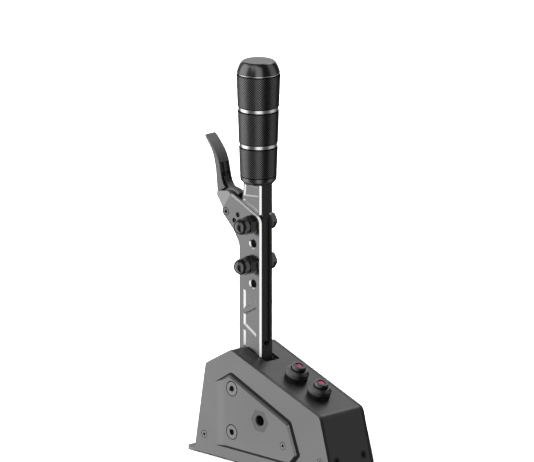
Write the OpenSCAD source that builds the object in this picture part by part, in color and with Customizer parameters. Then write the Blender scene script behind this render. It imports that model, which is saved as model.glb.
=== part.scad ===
// Sequential shifter for a racing simulator, in millimetres.
// +X is the end with the buttons, +Z is up, and the left side plate is on the -Y side.
// The origin is on the ground under the middle of the base plate.

/* [Side plates] */
// Length of a side plate along its foot
plate_len = 164.3; // [160:0.1:180]
// Width over both side plates, without their raised panels
body_w = 50; // [48:0.5:60]
// Thickness of a side plate
plate_t = 3; // [2.5:0.1:4]
// Height of a side plate's foot above the ground
plate_lift = 0.8; // [0.5:0.1:1.5]
// Distance of the rear top corner from the rear foot
rear_top_x = 13.6; // [10:0.1:16]
// Height of the rear top corner
rear_top_z = 78.6; // [76:0.1:81]
// Distance of the ridge from the rear foot
ridge_x = 42.8; // [40:0.1:46]
// Height of the ridge
ridge_z = 95.2; // [93:0.1:98]
// Distance of the front top corner behind the front foot
front_top_back = 16.5; // [14:0.1:19]
// Height of the front top corner
front_top_z = 58.3; // [55:0.1:61]
// How far the raised panel stands out of the plate, and the width of its bevel
panel_rise = 3; // [1.5:0.1:3.2]
// Rounding of the panel's corners
panel_r = 5; // [2:0.5:7]

/* [Cover] */
// Thickness of the folded cover and of the rear cover
cover_t = 2; // [1.5:0.1:2.5]
// Outside radius of the fold above the front face
front_fold_r = 6.5; // [4:0.5:9]
// Outside radius of the fold at the ridge and at the rear top corner
ridge_fold_r = 4; // [3:0.5:6]
// Length of the cover's lip down the rear
rear_lip = 9; // [6:0.5:12]
// Width of the lever slot beside the lever, each side
slot_side_gap = 0.7; // [0.5:0.1:1.2]
// Space between the slot's ends and the lever at its limits
slot_end_gap = 1.2; // [0.8:0.1:2]
// Height of the two screws in the front face
cover_screw_z = 21.5; // [19:0.1:23]
// Distance of the two front screws and of the rear screws from the middle
cover_screw_y = 15.2; // [13:0.1:16]

/* [Base plate] */
// Thickness of the base plate
base_t = 3; // [2.5:0.1:4]
// Length of each flange beyond the side plates
flange_out = 12; // [11:0.5:16]
// Width of the flanges
flange_w = 47.6; // [44:0.2:52]
// Radius of the flange corners
flange_r = 6; // [3:0.5:7]
// Width of a flange slot, for an M6 bolt
flange_slot_w = 6.5; // [5.5:0.1:6.7]
// Length of a flange slot from end to end
flange_slot_len = 8; // [7.5:0.1:9]
// Distance between the slots of one flange
flange_slot_pitch = 30; // [26:0.5:32]
// Material left outside a flange slot
flange_slot_edge = 3.2; // [2.5:0.1:3.6]

/* [Cross blocks and tie bar] */
// Height of the cross blocks above the base plate
block_h = 21; // [20:0.5:23]
// Distance of the rear block's front face from the rear foot
rear_block_x = 18; // [17:0.1:19]
// Distance of the front block's rear face behind the front foot
front_block_back = 21.3; // [20.5:0.1:23]
// Place of the rear small side screw from the rear foot
rear_screw_x = 11.9; // [11.5:0.1:12.5]
// Height of the rear small side screw
rear_screw_z = 17.5; // [16.5:0.1:18.5]
// Distance of the front small side screw behind the front foot
front_screw_back = 15.9; // [15.4:0.1:16.5]
// Height of the front small side screw
front_screw_z = 20.6; // [19.5:0.1:21]
// Distance of the tie bar behind the front foot
tie_back = 56.5; // [55:0.1:58]
// Height of the tie bar
tie_z = 27; // [26:0.1:29]
// Diameter of the tie bar
tie_d = 8; // [7:0.5:9]
// Distance of the base screws from the middle
base_screw_y = 9; // [7:0.5:10]
// Distance of the rear base screws from the rear foot
base_screw_rear_x = 11; // [10:0.1:12]
// Distance of the front base screws behind the front foot
base_screw_front_back = 12.3; // [11.5:0.1:13]

/* [Side nut] */
// Place of the side nut from the rear foot
side_nut_x = 80.7; // [78:0.1:83]
// Height of the side nut
side_nut_z = 42.8; // [41:0.1:45]
// Width across the flats of the side nut
side_nut_af = 17; // [16:0.5:18]
// Diameter of the threaded hole in the side nut, M10
side_nut_bore = 8.5; // [8:0.1:8.8]
// Thickness of the nut's flange inside the plate
side_nut_flange_t = 1.5; // [1:0.1:2]

/* [Lever pivot] */
// Distance of the lever's pivot from the rear foot
pivot_x = 47.8; // [46.5:0.1:49]
// Height of the lever's pivot
pivot_z = 26.8; // [26:0.1:28]
// Height of the stop pin above the pivot
stop_h = 36.9; // [35:0.1:38]
// Diameter of the pivot axle
axle_d = 10; // [9:0.5:11]
// Diameter of the stop pin
stop_pin_d = 9; // [8:0.5:9]
// Thickness of the rubber sleeve on the stop pin
stop_sleeve_t = 1.5; // [1:0.1:1.6]
// Angle that the lever tilts each way
tilt = 5.5; // [4:0.1:6]
// Running clearance of a shaft in its bush, on the radius
run_gap = 0.05; // [0.02:0.01:0.09]
// Clearance between parts that move past each other
move_gap = 0.3; // [0.25:0.05:0.5]

/* [Centring springs] */
// Distance of each spring from the pivot
spring_arm = 20; // [19:0.5:21]
// Radius of the spring's coil, to the middle of its wire
spring_r = 5; // [4.6:0.1:5.5]
// Diameter of the spring's wire
spring_wire_d = 1.2; // [0.9:0.1:1.4]
// Turns of a centring spring
spring_turns = 6; // [5:1:7]

/* [Lever] */
// Width of the lever, seen from the side
lever_w = 25; // [24:0.2:27]
// Thickness of the lever over both cheeks
lever_t = 14.6; // [14:0.1:15]
// Chamfer on the front edges of the lever and the bar
lever_chamfer = 1.3; // [0.6:0.1:1.6]
// Thickness of one cheek
cheek_t = 4; // [3.8:0.1:4.1]
// Height of the bottom of the channel between the cheeks
channel_z = 97.4; // [96.5:0.1:99]
// Height of the cheeks' front top corner
cheek_top_z = 206; // [205:0.1:207]
// Slope of the cheeks' top edge, in degrees
cheek_slope = 22.9; // [22:0.1:24]
// Radius of the cheeks' top corner at the front
cheek_corner_r = 7; // [5:0.5:8]
// Distance of the grip's axis in front of the pivot
grip_dx = 2.5; // [2:0.1:3]
// Distance of the bolts in front of the pivot
bolt_dx = 3.4; // [3:0.1:4]
// Height of the highest bolt hole
bolt_top_z = 200.1; // [199:0.1:201]
// Distance between the bolt holes
bolt_pitch = 16.9; // [16.5:0.1:17.2]
// Diameter of the bolt holes, for M8
bolt_hole_d = 8.8; // [8.4:0.1:9]
// Depth of the pockets in the cheeks, whose walls slope at 45 degrees
cheek_pocket_depth = 1.3; // [0.6:0.1:1.6]

/* [Height bar] */
// Thickness of the bar's tongue
tongue_t = 6.3; // [6:0.1:6.4]
// Width of the bar where it meets the grip
bar_w = 21.4; // [20:0.1:22]
// Gap between the bar's shoulder and the cheeks' slope
shoulder_gap = 1.6; // [0.6:0.1:3]
// Depth of the pockets in the bar's sides
pocket_depth = 1; // [0.5:0.1:1.5]

/* [Grip] */
// Height of the grip's underside
grip_z = 233.8; // [233:0.1:236]
// Height of the whole grip
grip_h = 102.8; // [100:0.1:105]
// Radius of the grip at its lower end
grip_low_r = 15.1; // [14:0.1:16]
// Radius of the grip at its upper end
grip_high_r = 18.1; // [17:0.1:19]
// Height of each bright ring
ring_h = 3; // [2:0.1:4]
// How far the rings lie below the grip's surface
ring_recess = 0.6; // [0.4:0.1:1]
// Radius of the cap's flat top
cap_top_r = 13.2; // [12:0.1:14]
// Height of the cap
cap_h = 9.9; // [9:0.1:12]
// Height of the collar at the grip's lower end
collar_h = 5.8; // [5:0.1:7]
// Diameter of the tube inside the grip
core_d = 22; // [20:0.5:23]
// Diameter of the bar's round spigot inside the grip
spigot_d = 14; // [12:0.5:16]

/* [Trigger] */
// Distance of the trigger's pivot behind the lever's pivot
trigger_back = 28.1; // [27.5:0.1:29]
// Height of the trigger's pivot
trigger_z = 204.9; // [204.5:0.1:205.5]
// Width of the trigger's finger part
trigger_w = 11.6; // [10:0.1:12]
// Diameter of the trigger's axle screw
trigger_axle_d = 4; // [3.5:0.1:4.2]
// Radius of the trigger's hub
trigger_hub_r = 4.8; // [4.4:0.1:5]
// Angle that the trigger is pulled
trigger_pull = 12; // [8:1:14]
// Depth of the two channels in the trigger's front
trigger_groove = 1.8; // [1:0.1:2.2]

/* [Buttons] */
// Distance between the two buttons along the slope
button_pitch = 27.9; // [26:0.1:30]
// Diameter of a button's collar
collar_d = 19.5; // [18.5:0.1:21]
// Height of a button's collar
button_collar_h = 8.5; // [7:0.1:9.5]
// Diameter of a button's threaded barrel
barrel_d = 16; // [15.5:0.1:16.5]
// Length of the barrel below the cover's outside
barrel_len = 16; // [14:0.5:18]
// Diameter of a button's moving cap
plunger_d = 11.6; // [10.5:0.1:12]
// How far the cap stands out of the collar
plunger_out = 3.7; // [3:0.1:4.5]
// Diameter of the red lens in the cap
lens_d = 6.2; // [5:0.1:7]
// Travel of a button
button_travel = 1.5; // [1:0.1:2]

/* [Boards] */
// Height of the main board's posts above the base plate
board_post_h = 6; // [5:0.5:7]
// Thickness of a circuit board
board_t = 1.6; // [1.2:0.1:2]
// Space between the main board and the front block
board_front_gap = 5; // [4:0.5:8]
// Width of the main board
board_w = 34; // [30:1:38]
// Space between the main board and the front spring
board_rear_gap = 10; // [8:0.5:14]
// Height of the sockets in the rear cover
socket_z = 52; // [50:0.5:54]

/* [Hidden] */
$fn = 48;
// Overlap that a cutter has past a face
past = 1;
// Clearance of a screw in its hole, on the radius
hole_gap = 0.2;
// Clearance of a seated part, on the radius
fit_gap = 0.05;
// Gap between the cover and the side plates, each side
cover_side_gap = 0.15;

inner_w = body_w - 2 * plate_t;
cover_w = inner_w - 2 * cover_side_gap;
plate_face = body_w / 2;
panel_face = plate_face + panel_rise;
front_top_x = plate_len - front_top_back;
front_block_x = plate_len - front_block_back;
front_screw_x = plate_len - front_screw_back;
tie_x = plate_len - tie_back;
slope = atan2(ridge_z - front_top_z, front_top_x - ridge_x);
front_lean = atan2(plate_len - front_top_x, front_top_z);
rear_lean = atan2(rear_top_x, rear_top_z);
stop_z = pivot_z + stop_h;
stop_sleeve_r = stop_pin_d / 2 + stop_sleeve_t;
bolt_x = pivot_x + bolt_dx;
grip_x = pivot_x + grip_dx;
trigger_x = pivot_x - trigger_back;
lever_front_x = pivot_x + lever_w / 2;
lever_rear_x = pivot_x - lever_w / 2;
channel_w = lever_t - 2 * cheek_t;

// Countersunk screws: thread diameter, head diameter and hexagon key
large_screw = [6, 12.6, 4];
small_screw = [3, 6, 2];
base_screw = [4, 8, 2.5];

// Points on the outside of the body, with x measured from the rear foot
function on_slope(x) = ridge_z - (x - ridge_x) * tan(slope);
function front_at(z, inset) = front_top_x + (front_top_z - z) * tan(front_lean) - inset / cos(front_lean);
function rear_at(z, inset) = z * tan(rear_lean) + inset / cos(rear_lean);

function unit(v) = v / norm(v);
function reversed(list) = [for (i = [len(list) - 1:-1:0]) list[i]];

// The arc that rounds corner p between its neighbours a and b with radius r
function corner_arc(a, p, b, r, steps) =
    r <= 0 ? [p] :
    let (u = unit(a - p), w = unit(b - p), half = acos(u * w) / 2)
    let (start = p + u * r / tan(half), centre = p + unit(u + w) * r / sin(half))
    let (turn = sign(cross(p - a, b - p)), from = atan2(start.y - centre.y, start.x - centre.x))
    [for (i = [0:steps]) let (t = from + turn * (180 - 2 * half) * i / steps) centre + r * [cos(t), sin(t)]];

// An outline with each corner rounded by its own radius
function rounded(points, radii, steps = 6) =
    let (n = len(points))
    [for (i = [0:n - 1]) each corner_arc(points[(i + n - 1) % n], points[i], points[(i + 1) % n], radii[i], steps)];

function right_of(a, b) = unit([b.y - a.y, a.x - b.x]);

// A path moved to its right by a sheet's thickness
function moved_right(path, t) =
    let (last = len(path) - 1)
    [for (i = [0:last])
        let (m = right_of(path[max(i - 1, 0)], path[max(i, 1)]))
        let (n = right_of(path[min(i, last - 1)], path[min(i + 1, last)]))
        path[i] + (m + n) * t / (1 + m * n)];

// A smooth curve through the given points, with some steps between each two
function spline(points, steps = 5) =
    let (last = len(points) - 1)
    [for (i = [0:last - 1], s = [0:(i == last - 1 ? steps : steps - 1)])
        let (t = s / steps)
        let (a = points[max(i - 1, 0)], b = points[i], c = points[i + 1], d = points[min(i + 2, last)])
        b + t * (c - a) / 2 + t * t * (a - 2.5 * b + 2 * c - d / 2) + t * t * t * (1.5 * b - 1.5 * c + (d - a) / 2)];

// A coil about Z, its wire's path starting at height 0
function coil_path(r, rise, turns, per_turn = 8) =
    [for (i = [0:turns * per_turn]) [r * cos(360 * i / per_turn), r * sin(360 * i / per_turn), rise * i / (turns * per_turn)]];

wire_sides = 6;

function wire_ring(path, i, r, axis) =
    let (along = unit(path[min(i + 1, len(path) - 1)] - path[max(i - 1, 0)]))
    let (out = unit(cross(along, axis)), up = cross(out, along))
    [for (j = [0:wire_sides - 1]) path[i] + r * (cos(360 * j / wire_sides) * out + sin(360 * j / wire_sides) * up)];

// Least distance between the wire's points one turn apart
function coil_gap(rings, per_turn) =
    min([for (i = [0:len(rings) - 1 - per_turn], a = rings[i], b = rings[i + per_turn]) norm(a - b)]);

// A wire swept along a path that runs square to an axis
module wire(path, r, axis) {
    rings = [for (i = [0:len(path) - 1]) wire_ring(path, i, r, axis)];
    last = (len(path) - 1) * wire_sides;
    sides = [for (i = [0:len(path) - 2], j = [0:wire_sides - 1])
        let (a = i * wire_sides + j, b = i * wire_sides + (j + 1) % wire_sides)
        each [[a, b, b + wire_sides], [a, b + wire_sides, a + wire_sides]]];
    ends = [for (j = [1:wire_sides - 2]) each [[0, j + 1, j], [last, last + j, last + j + 1]]];
    polyhedron([for (ring = rings) each ring], concat(sides, ends));
    if (len(rings) > 8) echo("least gap of the wire to itself, mm", coil_gap(rings, 8));
}

// The whole part is modelled from the rear foot, then centred on the base plate
module placed() {
    translate([-plate_len / 2, 0, 0]) children();
}

// A profile in X and Z, extruded from y_low to y_low + w
module slab(y_low, w) {
    translate([0, y_low + w, 0]) rotate([90, 0, 0]) linear_extrude(w) children();
}

// A round bar or bore along Y
module bar_y(x, z, d, y_low, w) {
    translate([x, y_low + w, z]) rotate([90, 0, 0]) cylinder(d = d, h = w);
}

// Frames whose Z axis points out of the slope, the front face and the rear face
module on_slope_at(x) {
    translate([x, 0, on_slope(x)]) rotate([0, slope, 0]) children();
}
module on_front_at(z) {
    translate([front_at(z, 0), 0, z]) rotate([0, 90 - front_lean, 0]) children();
}
module on_rear_at(z) {
    translate([rear_at(z, 0), 0, z]) rotate([0, rear_lean - 90, 0]) children();
}

// A frame whose Z axis points out of the left side, at distance y from the middle
module out_of_left(x, z, y) {
    translate([x, -y, z]) rotate([90, 0, 0]) children();
}

// Both sides of the body, the right one a mirror image of the left one
module both_sides() {
    children();
    mirror([0, 1, 0]) children();
}

module hexagon(af, h) {
    cylinder(d = af / cos(30), h = h, $fn = 6);
}

// A countersunk screw with its head's top at height 0 and its tip at -len
module countersunk_screw(size, len) {
    thread_d = size[0];
    head_d = size[1];
    head_h = (head_d - thread_d) / 2;
    difference() {
        union() {
            translate([0, 0, -head_h]) cylinder(d1 = thread_d, d2 = head_d, h = head_h);
            translate([0, 0, -len]) cylinder(d = thread_d, h = len - head_h);
        }
        translate([0, 0, -head_h * 0.75]) hexagon(size[2], head_h + past);
    }
}

// The hole for such a screw: its countersink and its clearance bore
module countersunk_hole(size, depth) {
    thread_d = size[0];
    head_d = size[1] + 2 * hole_gap;
    head_h = (head_d - thread_d) / 2;
    translate([0, 0, -head_h]) cylinder(d1 = thread_d, d2 = head_d, h = head_h);
    cylinder(d = head_d, h = past + panel_rise);
    translate([0, 0, -depth]) cylinder(d = thread_d + 2 * hole_gap, h = depth);
}

// The side plate's outline, from the rear foot round by the ridge
plate_outline = rounded(
    [[0, plate_lift], [rear_top_x, rear_top_z], [ridge_x, ridge_z], [front_top_x, front_top_z], [plate_len, plate_lift]],
    [1.5, ridge_fold_r, ridge_fold_r, front_fold_r, 1.5]);

// Margins between the plate's edges and the raised panel, and where its flat left end fades out
panel_left = 25;
panel_ramp = 15;
panel_foot = 11;
panel_ridge_drop = 18.6;
panel_top_right = [front_top_x - 33.2, front_top_z - 10];
panel_right = [front_top_x - 22.6, 21.5];
panel_corner = 9;
panel_top = [ridge_x + 1.3, ridge_z - panel_ridge_drop];

function panel_outline(inset, left) =
    let (fall = (panel_top_right.y - panel_top.y) / (panel_top_right.x - panel_top.x))
    let (rise = tan(32))
    rounded(
        [[left, panel_foot + inset],
         [left, panel_top.y - rise * (panel_top.x - left) - inset * 1.18],
         panel_top - [0, inset * 1.1],
         panel_top_right - inset * [0.75, 0.95],
         panel_right - [inset * 1.1, 0],
         [panel_right.x - panel_corner - inset * 0.5, panel_foot + inset]],
        [0, 0, panel_r, panel_r, panel_r / 2, panel_r / 2]);

module left_plate() {
    difference() {
        union() {
            slab(-plate_face, plate_t) polygon(plate_outline);
            hull() {
                slab(-plate_face, plate_t / 2) polygon(panel_outline(0, panel_left));
                slab(-panel_face, fit_gap) polygon(panel_outline(panel_rise, panel_left + panel_ramp));
            }
        }
        for (z = [pivot_z, stop_z]) {
            out_of_left(pivot_x, z, panel_face) countersunk_hole(large_screw, panel_rise + plate_t + past);
        }
        out_of_left(rear_screw_x, rear_screw_z, plate_face) countersunk_hole(small_screw, plate_t + past);
        out_of_left(front_screw_x, front_screw_z, plate_face) countersunk_hole(small_screw, plate_t + past);
        out_of_left(tie_x, tie_z, panel_face) countersunk_hole(small_screw, panel_rise + plate_t + past);
        out_of_left(side_nut_x, side_nut_z, plate_face - plate_t - past)
            hexagon(side_nut_af + 2 * fit_gap, panel_rise + plate_t + 2 * past);
    }
}

module left_side_plate() {
    color("dimgray") placed() left_plate();
}

module right_side_plate() {
    color("dimgray") placed() mirror([0, 1, 0]) left_plate();
}

// Nuts that are pressed into the side plates from inside, flush with the raised panels
module side_nuts() {
    color("gray") placed() both_sides()
        difference() {
            union() {
                out_of_left(side_nut_x, side_nut_z, inner_w / 2) hexagon(side_nut_af, panel_rise + plate_t);
                out_of_left(side_nut_x, side_nut_z, inner_w / 2 - side_nut_flange_t)
                    cylinder(d = side_nut_af * 1.3, h = side_nut_flange_t);
            }
            bar_y(side_nut_x, side_nut_z, side_nut_bore, -panel_face - past, panel_face);
            out_of_left(side_nut_x, side_nut_z, panel_face - 0.8)
                cylinder(d1 = side_nut_bore, d2 = side_nut_bore + 2, h = 1);
        }
}

// The length of the lever slot on each side of the pivot
slot_half = lever_w / 2 / cos(tilt) + (on_slope(pivot_x + lever_w / 2) - pivot_z) * tan(tilt) + slot_end_gap;
slot_w = lever_t + 2 * slot_side_gap;
slot_r = 1.5;
cover_foot_z = base_t + 0.3;
lip_z = rear_top_z - rear_lip * cos(rear_lean);
cover_path = [
    [rear_at(lip_z, 0), lip_z], [rear_top_x, rear_top_z], [ridge_x, ridge_z],
    [front_top_x, front_top_z], [front_at(cover_foot_z, 0), cover_foot_z]];
cover_radii = [0, ridge_fold_r, ridge_fold_r, front_fold_r, 0];

// The buttons' middle lies halfway between the slot and the front fold
button_mid_x = (pivot_x + slot_half + front_top_x) / 2;
function button_at(i) = button_mid_x + (i - 0.5) * button_pitch * cos(slope);

// A profile of sheet folded along a path
module folded_sheet(path, radii, t) {
    inner_radii = [for (r = radii) max(r - t, 0)];
    polygon(rounded(concat(path, reversed(moved_right(path, t))), concat(radii, reversed(inner_radii))));
}

module top_cover() {
    color([0.2, 0.2, 0.2]) placed() difference() {
        slab(-cover_w / 2, cover_w) folded_sheet(cover_path, cover_radii, cover_t);
        translate([pivot_x, 0, rear_top_z]) linear_extrude(ridge_z - rear_top_z + past)
            polygon(rounded(
                [[-slot_half, -slot_w / 2], [slot_half, -slot_w / 2], [slot_half, slot_w / 2], [-slot_half, slot_w / 2]],
                [slot_r, slot_r, slot_r, slot_r]));
        for (i = [0, 1]) {
            on_slope_at(button_at(i)) translate([0, 0, -cover_t - past])
                cylinder(d = barrel_d + 2 * hole_gap, h = cover_t + 2 * past);
        }
        for (y = [-cover_screw_y, cover_screw_y]) {
            on_front_at(cover_screw_z) translate([0, y, 0]) countersunk_hole(small_screw, cover_t + past);
        }
    }
}

cover_screw_len = 7;
cover_thread_depth = cover_screw_len + past;

module cover_screws() {
    color([0.1, 0.1, 0.1]) placed() for (y = [-cover_screw_y, cover_screw_y]) {
        on_front_at(cover_screw_z) translate([0, y, 0]) countersunk_screw(small_screw, cover_screw_len);
    }
}

rear_cover_top = lip_z - 0.4;
rear_screw_low_z = 11;
usb_w = 9;
usb_h = 3.3;
data_w = 12;
data_h = 9.6;
socket_gap = 0.3;
socket_y = 10;

// A rectangular bar that stands out of the rear face's frame, on both sides of it
module socket_bar(y, w, h, from, to) {
    on_rear_at(socket_z) translate([-h / 2, y - w / 2, from]) cube([h, w, to - from]);
}

module rear_cover() {
    path = [[rear_at(cover_foot_z, 0), cover_foot_z], [rear_at(rear_cover_top, 0), rear_cover_top]];
    color([0.2, 0.2, 0.2]) placed() difference() {
        slab(-cover_w / 2, cover_w) folded_sheet(path, [0, 0], cover_t);
        socket_bar(-socket_y, usb_w + 2 * socket_gap, usb_h + 2 * socket_gap, -cover_t - past, past);
        socket_bar(socket_y, data_w + 2 * socket_gap, data_h + 2 * socket_gap, -cover_t - past, past);
        for (y = [-cover_screw_y, cover_screw_y]) {
            on_rear_at(rear_screw_low_z) translate([0, y, 0]) countersunk_hole(small_screw, cover_t + past);
        }
    }
}

module rear_cover_screws() {
    color([0.1, 0.1, 0.1]) placed() for (y = [-cover_screw_y, cover_screw_y]) {
        on_rear_at(rear_screw_low_z) translate([0, y, 0]) countersunk_screw(small_screw, cover_screw_len);
    }
}

flange_slot_x = flange_out - flange_slot_edge - flange_slot_len / 2;
flange_gap = 0.4;

module flange_end() {
    difference() {
        union() {
            linear_extrude(base_t) polygon(rounded(
                [[-flange_gap, -flange_w / 2], [-flange_gap, flange_w / 2], [-flange_out, flange_w / 2], [-flange_out, -flange_w / 2]],
                [0, 0, flange_r, flange_r]));
            translate([-flange_gap - past, -inner_w / 2 + cover_side_gap, 0])
                cube([plate_len / 2 + flange_gap + past, inner_w - 2 * cover_side_gap, base_t]);
        }
        for (y = [-flange_slot_pitch / 2, flange_slot_pitch / 2]) {
            half = (flange_slot_len - flange_slot_w) / 2;
            for (x = [-half, half]) {
                translate([-flange_slot_x + x, y, -past]) cylinder(d = flange_slot_w, h = base_t + 2 * past);
            }
            translate([-flange_slot_x - half, y - flange_slot_w / 2, -past])
                cube([2 * half, flange_slot_w, base_t + 2 * past]);
        }
    }
}

base_screw_xs = [base_screw_rear_x, plate_len - base_screw_front_back];

module at_base_screws() {
    for (x = base_screw_xs, y = [-base_screw_y, base_screw_y]) {
        translate([x, y, 0]) rotate([180, 0, 0]) children();
    }
}

module base_plate() {
    color([0.35, 0.35, 0.35]) placed() difference() {
        union() {
            flange_end();
            translate([plate_len, 0, 0]) mirror([1, 0, 0]) flange_end();
        }
        at_base_screws() countersunk_hole(base_screw, base_t + past);
    }
}

base_screw_len = 10;

module base_screws() {
    color("silver") placed() at_base_screws() countersunk_screw(base_screw, base_screw_len);
}

// A cross block between the side plates, bored for the screws that go into it
module cross_block(profile, screw_x, screw_z) {
    difference() {
        slab(-inner_w / 2, inner_w) polygon(profile);
        both_sides() bar_y(screw_x, screw_z, small_screw[0] + 2 * fit_gap, -inner_w / 2 - past, small_screw_len);
        at_base_screws() translate([0, 0, -base_screw_len - past])
            cylinder(d = base_screw[0] + 2 * fit_gap, h = base_screw_len + past);
        children();
    }
}

module rear_block() {
    z1 = base_t + block_h;
    color("silver") placed()
        cross_block(
            [[rear_at(base_t, cover_t + fit_gap), base_t], [rear_block_x, base_t], [rear_block_x, z1], [rear_at(z1, cover_t + fit_gap), z1]],
            rear_screw_x, rear_screw_z)
        for (y = [-cover_screw_y, cover_screw_y]) {
            on_rear_at(rear_screw_low_z) translate([0, y, -cover_thread_depth])
                cylinder(d = small_screw[0] + 2 * fit_gap, h = cover_thread_depth + past);
        }
}

module front_block() {
    z1 = base_t + block_h;
    color("silver") placed()
        cross_block(
            [[front_at(base_t, cover_t + fit_gap), base_t], [front_block_x, base_t], [front_block_x, z1], [front_at(z1, cover_t + fit_gap), z1]],
            front_screw_x, front_screw_z)
        for (y = [-cover_screw_y, cover_screw_y]) {
            on_front_at(cover_screw_z) translate([0, y, -cover_thread_depth])
                cylinder(d = small_screw[0] + 2 * fit_gap, h = cover_thread_depth + past);
        }
}

small_screw_len = 11;

// Tie bar with a threaded hole in each end
module cross_spacer() {
    depth = small_screw_len - plate_t - panel_rise + past;
    color("silver") placed() difference() {
        bar_y(tie_x, tie_z, tie_d, -inner_w / 2, inner_w);
        both_sides() bar_y(tie_x, tie_z, small_screw[0] + 2 * fit_gap, -inner_w / 2 - past, depth + past);
    }
}

module side_screws_small() {
    color([0.35, 0.35, 0.35]) placed() both_sides() {
        out_of_left(rear_screw_x, rear_screw_z, plate_face) countersunk_screw(small_screw, small_screw_len);
        out_of_left(front_screw_x, front_screw_z, plate_face) countersunk_screw(small_screw, small_screw_len);
        out_of_left(tie_x, tie_z, panel_face) countersunk_screw(small_screw, small_screw_len);
    }
}

large_screw_len = 16;

module side_screws_large() {
    color([0.35, 0.35, 0.35]) placed() both_sides()
        for (z = [pivot_z, stop_z]) {
            out_of_left(pivot_x, z, panel_face) countersunk_screw(large_screw, large_screw_len);
        }
}

// A rod between the side plates with a threaded hole in each end
module threaded_rod(z, d) {
    depth = large_screw_len - plate_t - panel_rise + past;
    difference() {
        bar_y(pivot_x, z, d, -inner_w / 2, inner_w);
        both_sides() bar_y(pivot_x, z, large_screw[0] + 2 * fit_gap, -inner_w / 2 - past, depth + past);
    }
}

module pivot_axle() {
    color("silver") placed() threaded_rod(pivot_z, axle_d);
}

module stop_pin() {
    color("silver") placed() threaded_rod(stop_z, stop_pin_d);
}

stop_sleeve_len = lever_t + 4;

module stop_sleeve() {
    color([0.1, 0.1, 0.1]) placed() difference() {
        bar_y(pivot_x, stop_z, 2 * stop_sleeve_r, -stop_sleeve_len / 2, stop_sleeve_len);
        bar_y(pivot_x, stop_z, stop_pin_d + 2 * fit_gap, -stop_sleeve_len / 2 - past, stop_sleeve_len + 2 * past);
    }
}

bush_d = axle_d + 3;
bush_flange_d = axle_d + 7;
bush_flange_t = 1;

// Flanged bushes pressed into the lever from both sides
module pivot_bushes() {
    flange_y = lever_t / 2 + bush_flange_t;
    color("darkgoldenrod") placed() both_sides() difference() {
        union() {
            bar_y(pivot_x, pivot_z, bush_d, -flange_y, flange_y - 1);
            bar_y(pivot_x, pivot_z, bush_flange_d, -flange_y, bush_flange_t);
        }
        bar_y(pivot_x, pivot_z, axle_d + 2 * run_gap, -flange_y - past, flange_y + 2 * past);
    }
}

// Tubes on the axle that keep the lever in the middle
module pivot_spacers() {
    inside = lever_t / 2 + bush_flange_t + move_gap;
    color("silver") placed() both_sides() difference() {
        bar_y(pivot_x, pivot_z, bush_flange_d, -inner_w / 2, inner_w / 2 - inside);
        bar_y(pivot_x, pivot_z, axle_d + 2 * fit_gap, -inner_w / 2 - past, inner_w / 2);
    }
}

// The lever's foot: a hub round the pivot and an arm to each side that presses on a spring
hub_r = bush_d / 2 + 4.5;
arm_low = 4;
arm_high = 8;
arm_end = spring_arm + 5;
arm_gap = 0.4;
cap_top_z = pivot_z - arm_low - arm_gap;
cap_flange_low = cap_top_z - 4;
cap_flange_r = spring_r + 1;
spring_low = base_t;
spring_high = cap_flange_low - fit_gap;
post_d = 4.8;
post_top = cap_top_z - 5.5;

module spring_cap(x) {
    skirt_low = base_t + 5;
    bore_top = cap_top_z - 3;
    dome = [for (i = [0:8]) let (t = 90 * i / 8) [cap_flange_r * cos(t), cap_flange_low + 2 + 2 * sin(t)]];
    color("white") placed() translate([x, 0, 0]) rotate_extrude()
        polygon(concat(
            [[0, bore_top], [post_d / 2 + run_gap, bore_top], [post_d / 2 + run_gap, skirt_low],
             [spring_r - spring_wire_d / 2 - 0.4, skirt_low], [spring_r - spring_wire_d / 2 - 0.4, cap_flange_low],
             [cap_flange_r, cap_flange_low]],
            dome));
}

module spring_cap_rear() {
    spring_cap(pivot_x - spring_arm);
}

module spring_cap_front() {
    spring_cap(pivot_x + spring_arm);
}

module centring_spring(x) {
    r = spring_wire_d / 2;
    color("silver") placed() translate([x, 0, spring_low + r])
        wire(coil_path(spring_r, spring_high - spring_low - 2 * r, spring_turns), r, [0, 0, 1]);
}

module centring_spring_rear() {
    centring_spring(pivot_x - spring_arm);
}

module centring_spring_front() {
    centring_spring(pivot_x + spring_arm);
}

module spring_posts() {
    color("silver") placed() for (side = [-1, 1]) {
        translate([pivot_x + side * spring_arm, 0, base_t]) cylinder(d = post_d, h = post_top - base_t);
    }
}

magnet_d = 6;
magnet_t = 2.5;
magnet_z = pivot_z - hub_r + 0.5;

module sensor_magnet() {
    color("silver") placed() translate([pivot_x, 0, magnet_z]) cylinder(d = magnet_d, h = magnet_t);
}

chip_t = 1.2;
sensor_gap = 1.3;
sensor_board_z = pivot_z - hub_r - sensor_gap - chip_t - board_t;
sensor_board_w = 26;
sensor_board_len = 12;
sensor_post_y = sensor_board_w / 2 - 3;

module sensor_board() {
    color("darkgreen") placed() union() {
        translate([pivot_x - sensor_board_len / 2, -sensor_board_w / 2, sensor_board_z])
            cube([sensor_board_len, sensor_board_w, board_t]);
        translate([pivot_x - 2, -2.5, sensor_board_z + board_t]) cube([4, 5, chip_t]);
    }
}

module sensor_posts() {
    color("silver") placed() for (y = [-sensor_post_y, sensor_post_y]) {
        translate([pivot_x, y, base_t]) cylinder(d = 5, h = sensor_board_z - base_t);
    }
}

main_board_z = base_t + board_post_h;
board_x = pivot_x + spring_arm + cap_flange_r + board_rear_gap;
board_len = front_block_x - board_front_gap - board_x;
board_margin = 4;

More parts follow.
